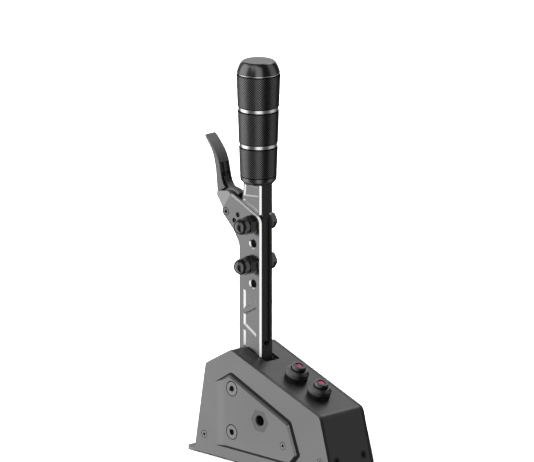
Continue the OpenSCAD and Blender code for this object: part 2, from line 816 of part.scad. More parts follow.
module main_board() {
    color("darkgreen") placed() union() {
        translate([board_x, -board_w / 2, main_board_z]) cube([board_len, board_w, board_t]);
        translate([board_x + board_len / 2 - 5, -5, main_board_z + board_t]) cube([10, 10, 1.4]);
        for (y = [-10, 4]) {
            translate([board_x + board_len - 7, y, main_board_z + board_t]) cube([5, 8, 5]);
        }
        translate([board_x + 2, -6, main_board_z + board_t]) cube([5, 12, 5]);
    }
}

module board_posts() {
    color("silver") placed()
        for (x = [board_x + board_margin, board_x + board_len - board_margin], y = [board_margin - board_w / 2, board_w / 2 - board_margin]) {
            translate([x, y, base_t]) cylinder(d = 5, h = board_post_h);
        }
}

usb_depth = 9;
data_depth = 14;
socket_board_h = 22;
socket_board_w = 38;
boss_d = 4;
boss_inset = 2.5;

// The board stands behind the sockets, parallel to the rear cover
module socket_board() {
    color("darkgreen") placed() union() {
        on_rear_at(socket_z) translate([-socket_board_h / 2, -socket_board_w / 2, -data_depth - board_t])
            cube([socket_board_h, socket_board_w, board_t]);
        for (y = [-1, 1], x = [-1, 1]) {
            on_rear_at(socket_z)
                translate([x * (socket_board_h / 2 - boss_inset), y * (socket_board_w / 2 - boss_inset), -data_depth])
                cylinder(d = boss_d, h = data_depth - cover_t - fit_gap);
        }
    }
}

module usb_socket() {
    color("silver") placed() difference() {
        socket_bar(-socket_y, usb_w, usb_h, -data_depth + fit_gap, -0.3);
        socket_bar(-socket_y, usb_w - 0.8, usb_h - 0.8, -usb_depth + 1, past);
    }
}

module data_socket() {
    color([0.1, 0.1, 0.1]) placed() difference() {
        socket_bar(socket_y, data_w, data_h, -data_depth + fit_gap, -0.3);
        socket_bar(socket_y, data_w - 2.4, data_h - 2.8, -data_depth + 2, past);
    }
}

// Button collar with its threaded barrel below the cover
module button_housing() {
    collar_chamfer = 2;
    mouth_r = plunger_d / 2 + move_gap;
    collar_r = collar_d / 2;
    seat_z = button_collar_h - 4;
    rotate_extrude() polygon([
        [mouth_r, button_collar_h], [collar_r - collar_chamfer, button_collar_h],
        [collar_r, button_collar_h - collar_chamfer], [collar_r, 0.05], [barrel_d / 2, 0.05],
        [barrel_d / 2, -barrel_len], [plunger_d / 2 + 1.2 + move_gap, -barrel_len],
        [plunger_d / 2 + 1.2 + move_gap, seat_z], [mouth_r, seat_z]]);
}

module button_housings() {
    color([0.12, 0.12, 0.12]) placed() for (i = [0, 1]) {
        on_slope_at(button_at(i)) button_housing();
    }
}

button_nut_t = 3;

module button_nuts() {
    color("silver") placed() for (i = [0, 1]) {
        on_slope_at(button_at(i)) difference() {
            translate([0, 0, -cover_t - button_nut_t]) hexagon(barrel_d + 4, button_nut_t - fit_gap);
            translate([0, 0, -cover_t - button_nut_t - past]) cylinder(d = barrel_d + 2 * fit_gap, h = button_nut_t + 2 * past);
        }
    }
}

// The moving cap: a rim round the lens, a skirt with a lip and a stem to the switch
stem_end = -4;

module button_plunger(i) {
    top = button_collar_h + plunger_out;
    lip_z = button_collar_h - 4 - move_gap;
    lip_r = plunger_d / 2 + 1.2;
    color([0.25, 0.25, 0.25]) placed() on_slope_at(button_at(i)) rotate_extrude() polygon([
        [0, stem_end], [2, stem_end], [2, lip_z - 3], [lip_r, lip_z - 3], [lip_r, lip_z], [plunger_d / 2, lip_z],
        [plunger_d / 2, top - 0.8], [plunger_d / 2 - 0.8, top], [lens_d / 2 + fit_gap, top],
        [lens_d / 2 + fit_gap, top - 2], [0, top - 2]]);
}

module button_lens(i) {
    top = button_collar_h + plunger_out;
    color("crimson") placed() on_slope_at(button_at(i))
        translate([0, 0, top - 2 + fit_gap]) cylinder(d = lens_d, h = 1.7);
}

module button_plunger_1() {
    button_plunger(0);
}
module button_plunger_2() {
    button_plunger(1);
}
module button_lens_1() {
    button_lens(0);
}
module button_lens_2() {
    button_lens(1);
}

// Sealed switch in the barrel, with its return spring inside, and two solder tags
module button_switches() {
    body_r = plunger_d / 2 + 1.2 + move_gap - fit_gap;
    switch_top = stem_end - button_travel - move_gap;
    color([0.15, 0.15, 0.15]) placed() for (i = [0, 1]) {
        on_slope_at(button_at(i)) union() {
            translate([0, 0, -barrel_len - 2]) cylinder(r = body_r, h = switch_top + barrel_len + 2);
            for (y = [-3, 3]) {
                translate([-0.4, y - 1, -barrel_len - 6]) cube([0.8, 2, 5]);
            }
        }
    }
}

// The lever's cheeks seen from the side: lever, nose with the trigger's pivot, and foot
cheek_fall = tan(cheek_slope);
nose_x = pivot_x - 26.7;
nose_z = cheek_top_z + cheek_fall * (lever_front_x - nose_x);
cheek_outline = rounded(
    [[lever_front_x, pivot_z], [lever_front_x, cheek_top_z], [nose_x, nose_z], [trigger_x - 10.4, trigger_z + 15.4],
     [trigger_x - 11.2, trigger_z + 12.4], [trigger_x - 4.05, trigger_z + 2.7], [trigger_x - 4.05, trigger_z - 2.1], [trigger_x + 9.2, trigger_z - 14.4],
     [lever_rear_x, trigger_z - 24.4], [lever_rear_x, pivot_z]],
    [0, cheek_corner_r, 1, 1.5, 1.5, 3, 3, 24, 12, 0]);
foot_outline = rounded(
    [[pivot_x - arm_end, pivot_z - arm_low], [pivot_x + arm_end, pivot_z - arm_low], [pivot_x + arm_end, pivot_z + arm_high],
     [lever_front_x, pivot_z + 2.2 * arm_high], [lever_rear_x, pivot_z + 2.2 * arm_high], [pivot_x - arm_end, pivot_z + arm_high]],
    [2, 2, 3, 4, 4, 3]);

// Window in the lever that the stop pin passes through
stop_window_h = 2 * stop_sleeve_r + 2 * move_gap + 0.4;
stop_window_half = stop_h * sin(tilt) + stop_sleeve_r + move_gap;

// The pockets leave a truss of ribs; each outline runs clockwise from its top left corner
truss_x = lever_rear_x + 5.1;
truss_far_x = lever_front_x - 5.2;
truss_pockets = [
    [[truss_x, 143], [truss_x + 2.9, 143], [truss_far_x, 136.8], [truss_far_x, 134.3], [truss_x, 126.3]],
    [[truss_x, 122.4], [truss_far_x, 130.4], [truss_far_x, 105], [truss_x, 113.4]],
    [[truss_x, 108.9], [truss_x + 2.9, 108.9], [truss_far_x, 101.6], [truss_far_x, 86], [truss_x, 86]]];

// A clockwise outline moved inwards
function inset(points, d) =
    let (n = len(points))
    [for (i = [0:n - 1])
        let (a = right_of(points[(i + n - 1) % n], points[i]), b = right_of(points[i], points[(i + 1) % n]))
        points[i] + (a + b) * d / (1 + a * b)];

// A pocket in the left side of the lever, with walls that slope at 45 degrees
module pocket(outline, depth) {
    hull() {
        slab(-lever_t / 2 - fit_gap, fit_gap) polygon(inset(outline, -fit_gap / 2));
        slab(-lever_t / 2, depth) polygon(inset(outline, depth));
    }
}

// Cuts the chamfers of both front edges between two heights
module front_chamfers(low, high) {
    both_sides() translate([lever_front_x, -lever_t / 2, low]) rotate([0, 0, -45])
        translate([-lever_chamfer / sqrt(2), -lever_t, 0]) cube([lever_t, 2 * lever_t, high - low]);
}

// Cuts the chamfers that follow the cheeks' edge round the front corner and up the slope
module top_chamfers() {
    corner = corner_arc([lever_front_x, pivot_z], [lever_front_x, cheek_top_z], [nose_x, nose_z], cheek_corner_r, 6);
    edges = concat(corner, [[nose_x + 4, nose_z - cheek_fall * 4]]);
    both_sides() for (i = [0:len(edges) - 2]) {
        run = edges[i] - edges[i + 1];
        spare = i == len(edges) - 2 ? 0 : 5;
        translate([edges[i + 1].x, -lever_t / 2, edges[i + 1].y]) rotate([0, -atan2(run.y, run.x), 0]) rotate([45, 0, 0])
            translate([-spare, -lever_t, -lever_chamfer / sqrt(2)]) cube([norm(run) + 2 * spare, 2 * lever_t, lever_t]);
    }
}

bolt_zs = [for (i = [0:3]) bolt_top_z - i * bolt_pitch];
switch_hole_d = 4.4;
switch_holes = [[trigger_x + 13.9, trigger_z - 0.4], [trigger_x + 9.7, trigger_z - 5.9]];
pin_d = 2;

// The nose's bevel starts on this line of the cheek and is this deep at the cheek's edge
nose_bevel_depth = 1.6;
nose_bevel_from = [trigger_x - 3.6, trigger_z + 2.3];
nose_bevel_to = [trigger_x + 5.5, trigger_z + 15.9];

module nose_bevel() {
    run = nose_bevel_to - nose_bevel_from;
    reach = 12;
    translate([nose_bevel_from.x, -lever_t / 2, nose_bevel_from.y]) rotate([0, -atan2(run.y, run.x), 0])
        rotate([atan2(nose_bevel_depth, reach), 0, 0]) translate([-10, -4, 0]) cube([40, 4, 20]);
}

module lever_fork() {
    color("dimgray") placed() difference() {
        union() {
            slab(-lever_t / 2, lever_t) polygon(cheek_outline);
            slab(-lever_t / 2, lever_t) polygon(foot_outline);
            bar_y(pivot_x, pivot_z, 2 * hub_r, -lever_t / 2, lever_t);
        }
        translate([trigger_x - 20, -channel_w / 2, channel_z + channel_w / 2])
            cube([lever_front_x - trigger_x + 40, channel_w, nose_z]);
        translate([lever_rear_x - past, 0, channel_z + channel_w / 2]) rotate([0, 90, 0])
            cylinder(d = channel_w, h = lever_w + 2 * past);
        bar_y(pivot_x, pivot_z, bush_d + 2 * fit_gap, -lever_t, 2 * lever_t);
        translate([pivot_x, 0, magnet_z - past]) cylinder(d = magnet_d + 2 * fit_gap, h = magnet_t + past + fit_gap);
        slab(-lever_t, 2 * lever_t) translate([pivot_x, stop_z]) {
            half = stop_window_half - stop_window_h / 2;
            square([2 * half, stop_window_h], center = true);
            for (x = [-half, half]) {
                translate([x, 0]) circle(d = stop_window_h);
            }
        }
        for (z = bolt_zs) {
            bar_y(bolt_x, z, bolt_hole_d, -lever_t, 2 * lever_t);
        }
        bar_y(trigger_x, trigger_z, trigger_axle_d + 2 * fit_gap, -lever_t, 2 * lever_t);
        out_of_left(trigger_x, trigger_z, lever_t / 2) countersunk_hole([trigger_axle_d, 6.4], cheek_t);
        for (p = switch_holes) {
            bar_y(p.x, p.y, switch_hole_d, -lever_t, lever_t);
            bar_y(p.x, p.y, pin_d + 2 * fit_gap, -lever_t, 2 * lever_t);
        }
        front_chamfers(ridge_z - 15, cheek_top_z + 8);
        top_chamfers();
        both_sides() {
            for (outline = truss_pockets) {
                pocket(outline, cheek_pocket_depth);
            }
            nose_bevel();
        }
    }
}

// Upper bar: a full-thickness head with pockets, a tongue in the channel and a round spigot in the grip
tongue_low = channel_z + channel_w / 2;
tongue_front_x = lever_front_x - 1.4;
tongue_rear_x = bolt_x - bar_w / 2 - 0.1;
head_rear_x = tongue_rear_x - 1.4;
shoulder_z = cheek_top_z + shoulder_gap;
head_rear_z = shoulder_z + cheek_fall * (lever_front_x - head_rear_x);
head_corner = 2;
head_outline = [
    [lever_front_x - head_corner, shoulder_z + cheek_fall * head_corner], [lever_front_x, shoulder_z + head_corner],
    [lever_front_x, grip_z - 0.2], [bolt_x - bar_w / 2, grip_z - 0.2], [head_rear_x, head_rear_z]];
spigot_top = grip_z + grip_h - cap_h - 9;
rim_rear = 1.7;
rim_front = 2.6;
rib_z = head_rear_z + 2.8;
rib_w = 2.6;
rib_rise = 1.9;
shoulder_rib_w = 2.2;

module bar_pockets() {
    left = head_rear_x + rim_rear;
    right = lever_front_x - rim_front;
    pocket([[left + 1, grip_z - 1.6], [right, grip_z - 1.6], [right, rib_z + rib_w + rib_rise], [left, rib_z + rib_w]],
        pocket_depth);
    pocket([[left, rib_z], [right, rib_z + rib_rise], [right, shoulder_z + cheek_fall * rim_front + shoulder_rib_w],
        [left, shoulder_z + cheek_fall * (lever_front_x - left) + shoulder_rib_w]], pocket_depth);
}

module height_bar() {
    color("dimgray") placed() difference() {
        union() {
            slab(-lever_t / 2, lever_t) polygon(head_outline);
            slab(-tongue_t / 2, tongue_t) polygon([
                [tongue_front_x, tongue_low], [tongue_front_x, shoulder_z + 2], [tongue_rear_x, head_rear_z + 1], [tongue_rear_x, tongue_low]]);
            translate([grip_x, 0, grip_z - 1]) cylinder(d = spigot_d, h = spigot_top - grip_z + 1);
        }
        for (z = bolt_zs) {
            bar_y(bolt_x, z, bolt_hole_d, -lever_t, 2 * lever_t);
        }
        front_chamfers(shoulder_z - past, grip_z);
        both_sides() bar_pockets();
    }
}

bolt_d = 8;
bolt_af = 13;
bolt_head_h = 5.3;
washer_d = 16;
washer_t = 1.6;
nut_hex_h = 5.5;
nut_reach = 18.7;
used_bolt_zs = [bolt_zs[0], bolt_zs[2]];

module bar_washers() {
    color([0.15, 0.15, 0.15]) placed() both_sides() for (z = used_bolt_zs) {
        difference() {
            bar_y(bolt_x, z, washer_d, -lever_t / 2 - washer_t, washer_t);
            bar_y(bolt_x, z, bolt_d + 0.4, -lever_t, lever_t);
        }
    }
}

// Hexagon bolts, with their heads on the right side
module bar_bolts() {
    head_y = lever_t / 2 + washer_t;
    bolt_end = lever_t / 2 + nut_reach - 7;
    color([0.15, 0.15, 0.15]) placed() for (z = used_bolt_zs) {
        union() {
            bar_y(bolt_x, z, bolt_d, -bolt_end, bolt_end + head_y + past);
            translate([bolt_x, head_y + bolt_head_h, z]) rotate([90, 0, 0]) hexagon(bolt_af, bolt_head_h);
        }
    }
}

// Domed nuts: a hexagon, a plain neck and a round end over a blind thread
module acorn_nuts() {
    dome_r = bolt_af / 2 - 0.1;
    neck_end = nut_reach - washer_t - dome_r;
    dome = [for (i = [0:8]) let (t = 90 * i / 8) [dome_r * cos(t), neck_end + dome_r * sin(t)]];
    color([0.1, 0.1, 0.1]) placed() for (z = used_bolt_zs) {
        out_of_left(bolt_x, z, lever_t / 2 + washer_t) difference() {
            union() {
                hexagon(bolt_af, nut_hex_h);
                rotate_extrude() polygon(concat([[0, nut_hex_h - past], [dome_r, nut_hex_h - past]], dome));
            }
            translate([0, 0, -past]) cylinder(d = bolt_d + 2 * fit_gap, h = nut_reach - washer_t - 6 + past);
        }
    }
}

grip_top = grip_z + grip_h;
cap_z = grip_top - cap_h;
top_ring_h = 0.8;
sleeves_low = grip_z + collar_h;
sleeves_high = cap_z - top_ring_h;
sleeve_h = (sleeves_high - sleeves_low - 2 * ring_h) / 3;
edge = 0.6;
core_r = core_d / 2;

function grip_r(z) = grip_low_r + (grip_high_r - grip_low_r) * (z - sleeves_low) / (sleeves_high - sleeves_low);

module turned(points) {
    translate([grip_x, 0, 0]) rotate_extrude() polygon(points);
}

// A tapered sleeve that slides on the core
module grip_sleeve(i) {
    low = sleeves_low + i * (sleeve_h + ring_h);
    high = low + sleeve_h;
    color([0.08, 0.08, 0.08]) placed() turned([
        [core_r + fit_gap, low], [grip_r(low) - edge, low], [grip_r(low + edge), low + edge],
        [grip_r(high - edge), high - edge], [grip_r(high) - edge, high], [core_r + fit_gap, high]]);
}

module grip_sleeve_lower() {
    grip_sleeve(0);
}
module grip_sleeve_middle() {
    grip_sleeve(1);
}
module grip_sleeve_upper() {
    grip_sleeve(2);
}

// A bright ring between two heights, below the grip's surface
module grip_ring(low, high) {
    turned([
        [core_r + fit_gap, low], [grip_r(low) - ring_recess, low],
        [grip_r(high) - ring_recess, high], [core_r + fit_gap, high]]);
}

module grip_rings() {
    color("silver") placed() for (i = [0, 1]) {
        low = sleeves_low + sleeve_h + i * (sleeve_h + ring_h);
        grip_ring(low, low + ring_h);
    }
}

module grip_top_ring() {
    color("silver") placed() grip_ring(sleeves_high, cap_z);
}

module grip_collar() {
    color([0.1, 0.1, 0.1]) placed() turned([
        [core_r + fit_gap, grip_z], [grip_low_r - 2.8, grip_z], [grip_low_r - 0.5, grip_z + 2.7],
        [grip_low_r, sleeves_low], [core_r + fit_gap, sleeves_low]]);
}

// The cap narrows from the grip's side to its flat top, and its boss enters the core
module grip_cap() {
    boss_low = cap_z - 8;
    shoulder = spline([
        [grip_high_r - 0.4, cap_z + 0.4], [grip_high_r - 0.8, cap_z + 2.2], [grip_high_r - 2, cap_z + 5.4],
        [grip_high_r - 3.3, cap_z + 8], [cap_top_r, grip_top]], 3);
    color([0.1, 0.1, 0.1]) placed() turned(concat(
        [[0, boss_low], [spigot_d / 2, boss_low], [spigot_d / 2, cap_z], [grip_high_r - 0.8, cap_z]],
        shoulder, [[0, grip_top]]));
}

module grip_core() {
    color("silver") placed() turned([
        [spigot_d / 2 + fit_gap, grip_z], [core_r, grip_z], [core_r, cap_z], [spigot_d / 2 + fit_gap, cap_z]]);
}

// The trigger's curves, from the tip down, measured from its pivot
trigger_front = [
    [-25.2, 60.2], [-18.8, 54], [-12.8, 46.8], [-9.2, 39.4], [-7.2, 30.8], [-4.6, 22.6], [-0.8, 18.9], [5.6, 16.9]];
trigger_back_curve = [[-10.8, 15], [-11.4, 20.3], [-12.6, 31.9], [-13.8, 37.7], [-16.3, 46.2], [-20.9, 53.1], [-26.4, 59.6]];
trigger_pad_z = 39.4;
trigger_rib_w = 1.6;
trigger_rim_w = 1.2;
narrow_w = channel_w - 2 * move_gap;
spring_room = 2.6;

module at_trigger() {
    translate([trigger_x, 0, trigger_z]) children();
}

// The finger part, wide above the cheeks
module trigger_blade() {
    front = spline(trigger_front);
    back = spline(trigger_back_curve);
    at_trigger() translate([-0.9, 0, 0]) difference() {
        union() {
            slab(-trigger_w / 2, trigger_w) polygon(concat([for (p = front) if (p.y > 19.4) p], [[-11.4, 16.2]], [for (p = back) if (p.y > 16.4) p]));
            slab(-narrow_w / 2, narrow_w) polygon(concat([for (p = front) if (p.y < 30) p], [[8, 1.6], [4, -1]], [for (p = back) if (p.y < 30) p]));
        }
        both_sides() slab(-trigger_w / 2 + trigger_rim_w, trigger_w / 2 - trigger_rim_w - trigger_rib_w / 2)
            polygon(concat(
                [for (p = front) if (p.y < trigger_pad_z && p.y > 19.4) p - [trigger_groove, 0]],
                [[0, 19.4], [10, 30], [10, trigger_pad_z - 1], [-9, trigger_pad_z - 0.4]]));
    }
}

module trigger() {
    color("dimgray") placed() difference() {
        union() {
            trigger_blade();
            at_trigger() bar_y(0, 0, 2 * trigger_hub_r, -narrow_w / 2, narrow_w);
        }
        at_trigger() {
            bar_y(0, 0, trigger_axle_d + 2 * run_gap, -lever_t, 2 * lever_t);
            difference() {
                bar_y(0, 0, 2 * trigger_hub_r + 6, narrow_w / 2 - spring_room, spring_room + past);
                bar_y(0, 0, trigger_axle_d + 1.6, -lever_t, 2 * lever_t);
            }
        }
    }
}

// One screw is the trigger's axle: its head is sunk in the left cheek
module trigger_axle() {
    color("gray") placed() out_of_left(trigger_x, trigger_z, lever_t / 2) countersunk_screw([trigger_axle_d, 6.4, 2.5], lever_t);
}

// Torsion spring beside the hub: one leg lies under the trigger, the other on the lower switch pin
trigger_spring_r = trigger_hub_r - 0.4;
trigger_wire_d = 0.6;

module trigger_spring() {
    turns = 2;
    r = trigger_spring_r;
    rise = 0.95 * turns;
    coil = [for (i = [0:16]) let (t = 360 * i / 8) [r * sin(t), rise * i / 16, r * cos(t)]];
    path = concat([[-4, 0, r]], coil, [[4, rise, r]]);
    color("silver") placed() at_trigger() translate([0, narrow_w / 2 - rise - trigger_wire_d / 2, 0])
        wire(path, trigger_wire_d / 2, [0, 1, 0]);
}

// Snap switch between the cheeks, on two pins
switch_mid = (switch_holes[0] + switch_holes[1]) / 2;
switch_turn = atan2(switch_holes[0].y - switch_holes[1].y, switch_holes[0].x - switch_holes[1].x);
switch_t = channel_w - 2 * 0.1;
switch_len = 12.8;

module trigger_switch() {
    color([0.1, 0.1, 0.1]) placed() difference() {
        slab(-switch_t / 2, switch_t) translate(switch_mid) rotate(switch_turn) translate([-switch_len / 2, -1.8]) square([switch_len, 5]);
        for (p = switch_holes) {
            bar_y(p.x, p.y, pin_d + 2 * fit_gap, -lever_t, 2 * lever_t);
        }
    }
}

// Stepped pins: a thick end in the left cheek, sunk 1 mm, and a thin end through the switch
module switch_pins() {
    sunk = 1;
    color([0.15, 0.15, 0.15]) placed() for (p = switch_holes) {
        union() {
            bar_y(p.x, p.y, switch_hole_d - 2 * fit_gap, -lever_t / 2 + sunk, cheek_t - sunk - fit_gap);
            bar_y(p.x, p.y, pin_d, -lever_t / 2 + sunk + 0.5, lever_t - sunk - 0.5);
        }
    }
}

left_side_plate();
right_side_plate();
top_cover();
rear_cover();
base_plate();
rear_block();
front_block();
cross_spacer();
side_nuts();
side_screws_large();
side_screws_small();
cover_screws();
rear_cover_screws();
base_screws();
pivot_axle();
pivot_spacers();
pivot_bushes();
stop_pin();
stop_sleeve();
spring_cap_rear();
spring_cap_front();
centring_spring_rear();
centring_spring_front();
spring_posts();
sensor_magnet();
sensor_board();
sensor_posts();
main_board();
board_posts();
socket_board();
usb_socket();
data_socket();
button_housings();
button_nuts();
button_switches();
button_plunger_1();
button_plunger_2();
button_lens_1();
button_lens_2();
lever_fork();
height_bar();
bar_bolts();
bar_washers();
acorn_nuts();
grip_core();
grip_collar();
grip_sleeve_lower();
grip_sleeve_middle();
grip_sleeve_upper();
grip_rings();
grip_top_ring();
grip_cap();
trigger();
trigger_axle();
trigger_spring();
trigger_switch();
switch_pins();
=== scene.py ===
import math

import bpy
from mathutils import Matrix, Vector


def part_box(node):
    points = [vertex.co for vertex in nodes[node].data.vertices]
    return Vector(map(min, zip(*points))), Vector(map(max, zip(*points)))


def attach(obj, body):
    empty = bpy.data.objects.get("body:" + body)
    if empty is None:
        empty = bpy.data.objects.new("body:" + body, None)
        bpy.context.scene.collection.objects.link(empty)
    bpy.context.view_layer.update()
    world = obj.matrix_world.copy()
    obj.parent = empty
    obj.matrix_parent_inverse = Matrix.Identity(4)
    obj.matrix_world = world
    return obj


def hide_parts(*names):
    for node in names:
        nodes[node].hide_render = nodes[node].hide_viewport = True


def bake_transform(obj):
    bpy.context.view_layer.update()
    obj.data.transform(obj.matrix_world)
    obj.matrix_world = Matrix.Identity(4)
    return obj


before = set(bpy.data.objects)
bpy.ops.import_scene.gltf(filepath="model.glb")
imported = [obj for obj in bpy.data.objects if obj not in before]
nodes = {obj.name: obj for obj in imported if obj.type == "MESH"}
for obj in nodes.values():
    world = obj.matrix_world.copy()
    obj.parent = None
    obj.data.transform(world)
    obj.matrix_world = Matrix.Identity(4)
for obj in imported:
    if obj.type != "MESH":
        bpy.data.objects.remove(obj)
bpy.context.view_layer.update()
scene = bpy.context.scene


# Studio
# The photograph is a cut-out on white, seen from the right of the driver's end with a long lens.
# A pale floor, a broad top light, a strong side light and a weak one near the camera match it.
def linear(code):
    """The linear colour of an sRGB hex code."""
    parts = [int(code[i:i + 2], 16) / 255 for i in (1, 3, 5)]
    return tuple(c / 12.92 if c <= 0.04045 else ((c + 0.055) / 1.055) ** 2.4 for c in parts) + (1.0,)


def add_node(material, kind, inputs=None, **settings):
    """Adds a node. An input is a value or the socket that feeds it."""
    made = material.node_tree.nodes.new(kind)
    for name, value in settings.items():
        setattr(made, name, value)
    for key, value in (inputs or {}).items():
        if isinstance(value, bpy.types.NodeSocket):
            material.node_tree.links.new(value, made.inputs[key])
        else:
            made.inputs[key].default_value = value
    return made


def new_material(name):
    material = bpy.data.materials.new(name)
    material.use_nodes = True
    material.node_tree.nodes.clear()
    return material


def finish_material(material, shader):
    add_node(material, "ShaderNodeOutputMaterial", {"Surface": shader.outputs[0]})
    return material


azimuth = math.radians(46)
elevation = math.radians(14.8)
to_camera = Vector((math.sin(azimuth) * math.cos(elevation), -math.cos(azimuth) * math.cos(elevation),
                    math.sin(elevation)))
right = Vector((math.cos(azimuth), math.sin(azimuth), 0))
up = to_camera.cross(right)
# the middle of the picture lies a little left of the origin and well above it
aim_right, aim_up = -0.0151, 0.1921
aim = aim_right * right + aim_up * up
distance = 12.0
sensor_width = 36
picture_width = 534
metres_per_pixel = 0.00082
camera_data = bpy.data.cameras.new("camera")
camera_data.sensor_width = sensor_width
camera_data.lens = sensor_width * distance / (picture_width * metres_per_pixel)
camera_data.clip_end = 5 * distance
camera = bpy.data.objects.new("camera", camera_data)
scene.collection.objects.link(camera)
camera.location = aim + to_camera * distance
camera.rotation_euler = to_camera.to_track_quat("Z", "Y").to_euler()
scene.camera = camera
scene.view_settings.view_transform = "Standard"
scene.view_settings.look = "None"

bpy.ops.object.select_all(action="DESELECT")
bpy.ops.mesh.primitive_grid_add(x_subdivisions=8, y_subdivisions=8, size=16, location=(0, 0, 0))
floor = bpy.context.object
floor.name = "floor"
pale_floor = new_material("matt_white_paper")
floor_place = add_node(pale_floor, "ShaderNodeTexCoord").outputs["Object"]
# fibres of the paper, about 1 mm long
floor_grain = add_node(pale_floor, "ShaderNodeTexNoise", {
    "Vector": floor_place, "Scale": 900.0, "Detail": 2.0})
floor_bump = add_node(pale_floor, "ShaderNodeBump", {
    "Strength": 0.05, "Distance": 0.0002, "Height": floor_grain.outputs["Fac"]})
finish_material(pale_floor, add_node(pale_floor, "ShaderNodeBsdfPrincipled", {
    "Base Color": linear("#f6f6f5"), "Roughness": 0.9, "Specular IOR Level": 0.2,
    "Normal": floor_bump.outputs[0]}))
floor.data.materials.append(pale_floor)
floor.visible_glossy = False
floor.visible_diffuse = False

# The room is dark with three upright pale strips, which show as bands on the rings, the grip and the cap,
# and with four panels: the sheen of the cap's top, the cover's slope, its fold and the lever's edges.
world = bpy.data.worlds.new("studio")
scene.world = world
world.use_nodes = True
world.node_tree.nodes.clear()
look = add_node(world, "ShaderNodeTexCoord").outputs["Generated"]
flat = add_node(world, "ShaderNodeVectorMath", {0: look, 1: (1, 1, 0)}, operation="MULTIPLY")
heading = add_node(world, "ShaderNodeVectorMath", {0: flat.outputs["Vector"]}, operation="NORMALIZE")
level = add_node(world, "ShaderNodeSeparateXYZ", {0: look})


def soft_step(value, dark_at, bright_at, bright):
    """Goes softly from no light to the given brightness between two values."""
    return add_node(world, "ShaderNodeMapRange", {
        "Value": value, "From Min": dark_at, "From Max": bright_at, "To Min": 0.0, "To Max": bright},
        interpolation_type="SMOOTHSTEP").outputs[0]


def calculate(operation, one, other):
    return add_node(world, "ShaderNodeMath", {0: one, 1: other}, operation=operation).outputs[0]


def likeness(direction, centre):
    """The cosine of the angle between a direction and the middle of a light."""
    return add_node(world, "ShaderNodeVectorMath", {0: direction, 1: centre},
                    operation="DOT_PRODUCT").outputs["Value"]


panels = (
    # direction of the panel, inner and outer edge as cosines, brightness
    ((-0.69, 0.67, 0.25), 0.93, 0.75, 0.75),
    ((-0.385, 0.672, 0.627), 0.97, 0.9, 0.45),
    ((-0.02, 0.67, 0.73), 0.99, 0.945, 2.2),
    ((0.14, -0.62, 0.76), 0.97, 0.9, 1.0),
)
strips = (
    # degrees to the right of the camera, inner and outer half width, brightness
    (-94, 14, 34, 1.7),
    (3, 8, 24, 1.35),
    (90, 8, 28, 0.65),
)
room_light = 0.07
# the strips end between these heights of the look, as sines
strip_fades, strip_ends = 0.6, 0.85
glow = room_light
for centre, inner, outer, bright in panels:
    panel = soft_step(likeness(look, Vector(centre).normalized()), outer, inner, bright)
    glow = calculate("ADD", glow, panel)
below_top = soft_step(level.outputs["Z"], strip_ends, strip_fades, 1.0)
for turn, inner, outer, bright in strips:
    toward = azimuth + math.radians(turn)
    facing = likeness(heading.outputs["Vector"], (math.sin(toward), -math.cos(toward), 0))
    strip = soft_step(facing, math.cos(math.radians(outer)), math.cos(math.radians(inner)), bright)
    glow = calculate("ADD", glow, calculate("MULTIPLY", strip, below_top))
sky = add_node(world, "ShaderNodeBackground", {"Color": linear("#f5f5f4"), "Strength": glow})
add_node(world, "ShaderNodeOutputWorld", {"Surface": sky.outputs[0]})
world.cycles_visibility.diffuse = False


def softbox(name, place, aim_at, size, power):
    data = bpy.data.lights.new(name, "AREA")
    data.shape = "RECTANGLE"
    data.size, data.size_y = size
    data.energy = power
    light = bpy.data.objects.new(name, data)
    light.location = place
    light.rotation_euler = (Vector(place) - Vector(aim_at)).to_track_quat("Z", "Y").to_euler()
    light.visible_glossy = False
    scene.collection.objects.link(light)


softbox("top_light", (-1.3, 0.7, 2.3), aim_at=(0, 0.2, 0), size=(2.6, 2.6), power=180)
softbox("side_light", (-1.95, -2.3, 0.5), aim_at=(0, 0, 0.12), size=(1.45, 0.97), power=660)
softbox("front_light", (1.3, -1.5, 1.1), aim_at=(0, 0, 0.15), size=(0.25, 0.9), power=5.0)


# Base plate
# Laser-cut steel plate with a slotted flange at each end, powder-coated black.
# The coat is slightly uneven, as thick paint is, and it rounds the cut edges.
# a face looks along an axis when this share of its normal lies on it
straight = 0.9


def powder_coat(name, colour, rough, ior=1.38):
    """An even satin black with the fine waves of a sprayed coat."""
    material = new_material(name)
    place = add_node(material, "ShaderNodeTexCoord").outputs["Object"]
    # orange peel of a powder coat, about 1.2 mm from crest to crest
    peel = add_node(material, "ShaderNodeTexNoise", {
        "Vector": place, "Scale": 830.0, "Detail": 2.0, "Roughness": 0.4})
    bump = add_node(material, "ShaderNodeBump", {
        "Strength": 0.12, "Distance": 0.0001, "Height": peel.outputs["Fac"]})
    return finish_material(material, add_node(material, "ShaderNodeBsdfPrincipled", {
        "Base Color": linear(colour), "Roughness": rough, "IOR": ior, "Normal": bump.outputs[0]}))


def give(piece, *finishes):
    for finish in finishes:
        piece.data.materials.append(finish)


def other_finish(piece, test, number=1):
    """Gives another of the piece's finishes to the faces that pass the test."""
    for face in piece.data.polygons:
        if test(face.center, face.normal):
            face.material_index = number


def activate(piece):
    """Makes the piece the only selected one."""
    bpy.ops.object.select_all(action="DESELECT")
    piece.select_set(True)
    bpy.context.view_layer.objects.active = piece


